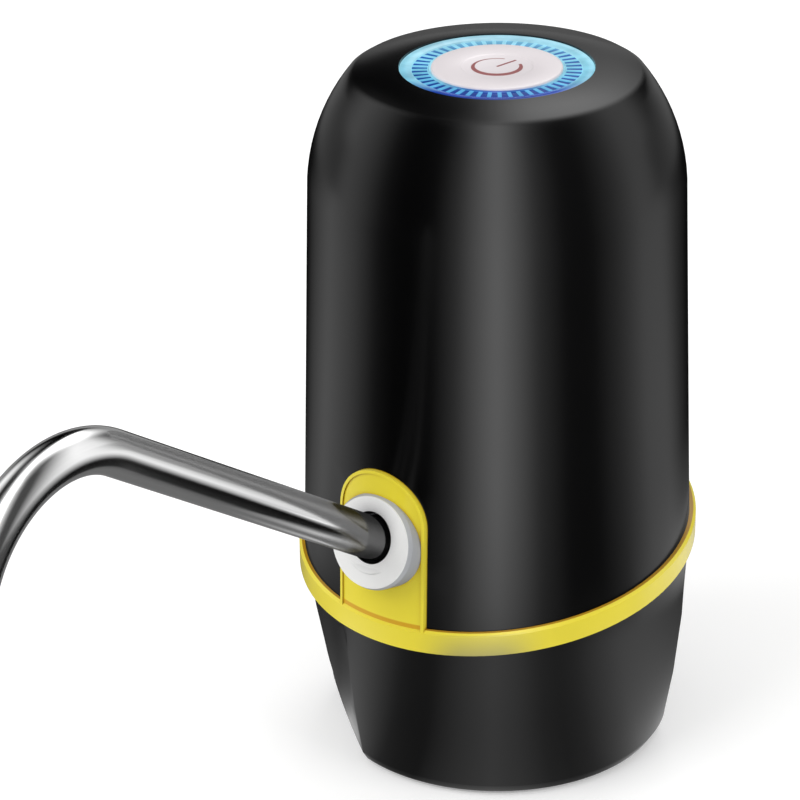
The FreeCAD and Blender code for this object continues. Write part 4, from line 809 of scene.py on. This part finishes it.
ring_glow = lit("ring_lip_glow", 0.9, (0.0, (0.003, 0.02, 0.24)), (0.13, (0.004, 0.04, 0.42)),
                (0.3, (0.24, 0.62, 0.8)), (0.6, (0.34, 0.74, 0.87)), (1.0, (0.42, 0.76, 0.88)))
channel_glow = lit("ring_channel_glow", 0.85, (0.0, (0.0, 0.02, 0.26)), (0.35, (0.0, 0.035, 0.3)),
                   (0.7, (0.0, 0.07, 0.38)), (0.95, (0.2, 0.58, 0.8)))
rib_glow = lit("ring_rib_glow", 0.95, (0.0, (0.05, 0.32, 0.7)), (0.4, (0.18, 0.6, 0.84)),
               (1.0, (0.36, 0.76, 0.9)))
ring = lathe("lit_ring", [
    (12.15, 130.3), (19.35, 130.3), (19.35, 131.75), (17.68, 131.75), (17.68, 133.6), (17.55, 133.76),
    (17.3, 133.82), (15.65, 133.7), (15.45, 133.58), (channel_outside, channel_level),
    (channel_inside, channel_level), (12.52, 133.62), (12.4, 133.7), (12.25, 133.68), (12.15, 133.5),
], ring_glow)
ring.data.materials.append(channel_glow)
for face in ring.data.polygons:
    middle = face.center
    if channel_inside * mm < middle.xy.length < channel_outside * mm and middle.z > flange_level * mm:
        face.material_index = 1
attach(ring, "housing")
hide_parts("light_ring")


def rib_tree(material):
    """Tree that sets ribs round a circle, with the count and each size as an input."""
    tree = bpy.data.node_groups.new("ribs_round_ring", "GeometryNodeTree")
    sockets = tree.interface.new_socket
    sockets("Geometry", in_out="OUTPUT", socket_type="NodeSocketGeometry")
    sockets("Count", in_out="INPUT", socket_type="NodeSocketInt")
    for name in ("Middle Radius", "Length", "Width", "Depth", "Level"):
        sockets(name, in_out="INPUT", socket_type="NodeSocketFloat")
    add = node_maker(tree)
    given = add("NodeGroupInput").outputs
    circle = add("GeometryNodeMeshCircle", {
        "Vertices": given["Count"], "Radius": given["Middle Radius"]})
    size = add("CombineXYZ", {"X": given["Length"], "Y": given["Width"], "Z": given["Depth"]})
    rib = add("GeometryNodeMeshCube", {"Size": size.outputs[0]})
    place = add("GeometryNodeInputPosition")
    turn = add("FunctionNodeAlignRotationToVector", {"Vector": place.outputs[0]}, axis="X")
    spread = add("GeometryNodeInstanceOnPoints", {
        "Points": circle.outputs["Mesh"], "Instance": rib.outputs["Mesh"],
        "Rotation": turn.outputs["Rotation"]})
    lift = add("CombineXYZ", {"Z": given["Level"]})
    move = add("GeometryNodeTranslateInstances", {
        "Instances": spread.outputs["Instances"], "Translation": lift.outputs[0],
        "Local Space": False})
    real = add("GeometryNodeRealizeInstances", {"Geometry": move.outputs["Instances"]})
    paint = add("GeometryNodeSetMaterial", {"Geometry": real.outputs["Geometry"], "Material": material})
    add("NodeGroupOutput", {"Geometry": paint.outputs["Geometry"]})
    return tree


def made_by_tree(name, tree, **sizes):
    """Plain mesh object that a tree makes from its named sizes."""
    carrier = bpy.data.objects.new(name + "_maker", bpy.data.meshes.new(name + "_maker"))
    scene.collection.objects.link(carrier)
    modifier = carrier.modifiers.new("tree", "NODES")
    modifier.node_group = tree
    for item in tree.interface.items_tree:
        if item.item_type == "SOCKET" and item.in_out == "INPUT":
            modifier[item.identifier] = sizes[item.name.lower().replace(" ", "_")]
    bpy.context.view_layer.update()
    evaluated = carrier.evaluated_get(bpy.context.evaluated_depsgraph_get())
    mesh = bpy.data.meshes.new_from_object(evaluated)
    bpy.data.objects.remove(carrier)
    piece = bpy.data.objects.new(name, mesh)
    scene.collection.objects.link(piece)
    return piece


ribs = made_by_tree("ring_ribs", rib_tree(rib_glow), count=48, middle_radius=14.0 * mm, length=2.8 * mm,
                    width=0.7 * mm, depth=0.5 * mm, level=133.27 * mm)
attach(ribs, "housing")


# Push cap: a white moulded button with a slightly sunk middle, printed with a power mark in
# rose-brown ink. It slides in the lit ring over the switch.

cap_white = moulded("cap_white", (0.74, 0.69, 0.71), 0.32, cloud=0.02, Coat_Weight=0.2,
                    Coat_Roughness=0.1)
cap = lathe("push_cap", [
    (0.0, 129.5), (2.2, 129.5), (2.2, 132.2), (10.6, 132.2), (10.6, 129.25), (13.05, 129.25),
    (13.05, 130.2), (12.0, 130.2), (12.0, 133.7), (11.93, 133.87), (11.75, 133.97), (11.5, 134.0),
    (6.75, 134.0), (6.6, 133.97), (6.45, 133.88), (6.3, 133.85), (0.0, 133.85),
], cap_white)
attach(cap, "button")
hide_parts("button_cap")

mark_bearing = radians(80)
mark_radius = 4.35
mark_stroke = 0.33
mark_swell = 0.24
mark_front = radians(-54.5)
mark_gap = radians(27)
mark_sweep = 2 * pi - 2 * mark_gap
mark_steps = 72
mark_levels = (133.84, 133.88)
strip_sides = ((0, 1), (1, 3), (3, 2), (2, 0))
bar_share = 0.7
bar_length = 4.8
mark_ink = moulded("mark_ink", (0.27, 0.08, 0.08), 0.4)
arc = []
for step in range(mark_steps + 1):
    bearing = mark_bearing + mark_gap + mark_sweep * step / mark_steps
    half = mark_stroke + mark_swell * cos(bearing - mark_front)
    arc.append([(reach * cos(bearing), reach * sin(bearing))
                for reach in (mark_radius - half, mark_radius + half)])
ahead = Vector((cos(mark_bearing), sin(mark_bearing)))
aside = Vector((-ahead.y, ahead.x)) * mark_stroke * bar_share
bar = [[tuple(ahead * reach - aside), tuple(ahead * reach + aside)]
       for reach in (0.0, bar_length / 2, bar_length)]
places = []
faces = []
for strip in (arc, bar):
    start = len(places)
    for pair in strip:
        places += [(x * mm, y * mm, level * mm) for level in mark_levels for x, y in pair]
    for row in range(len(strip) - 1):
        low = start + row * 4
        for one, other in strip_sides:
            faces.append((low + one, low + other, low + 4 + other, low + 4 + one))
    faces.append((start, start + 2, start + 3, start + 1))
    last = start + (len(strip) - 1) * 4
    faces.append((last, last + 1, last + 3, last + 2))
mark = plain_mesh("power_mark", places, faces, mark_ink, smooth=False)
face_outward(mark, crease=30)
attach(mark, "button")


# Case screws: four long plated screws, driven up from the neck's socket through the deck and
# the chassis into the casing's pillars. They close the pump.

dress(plated_steel, "case_screws")
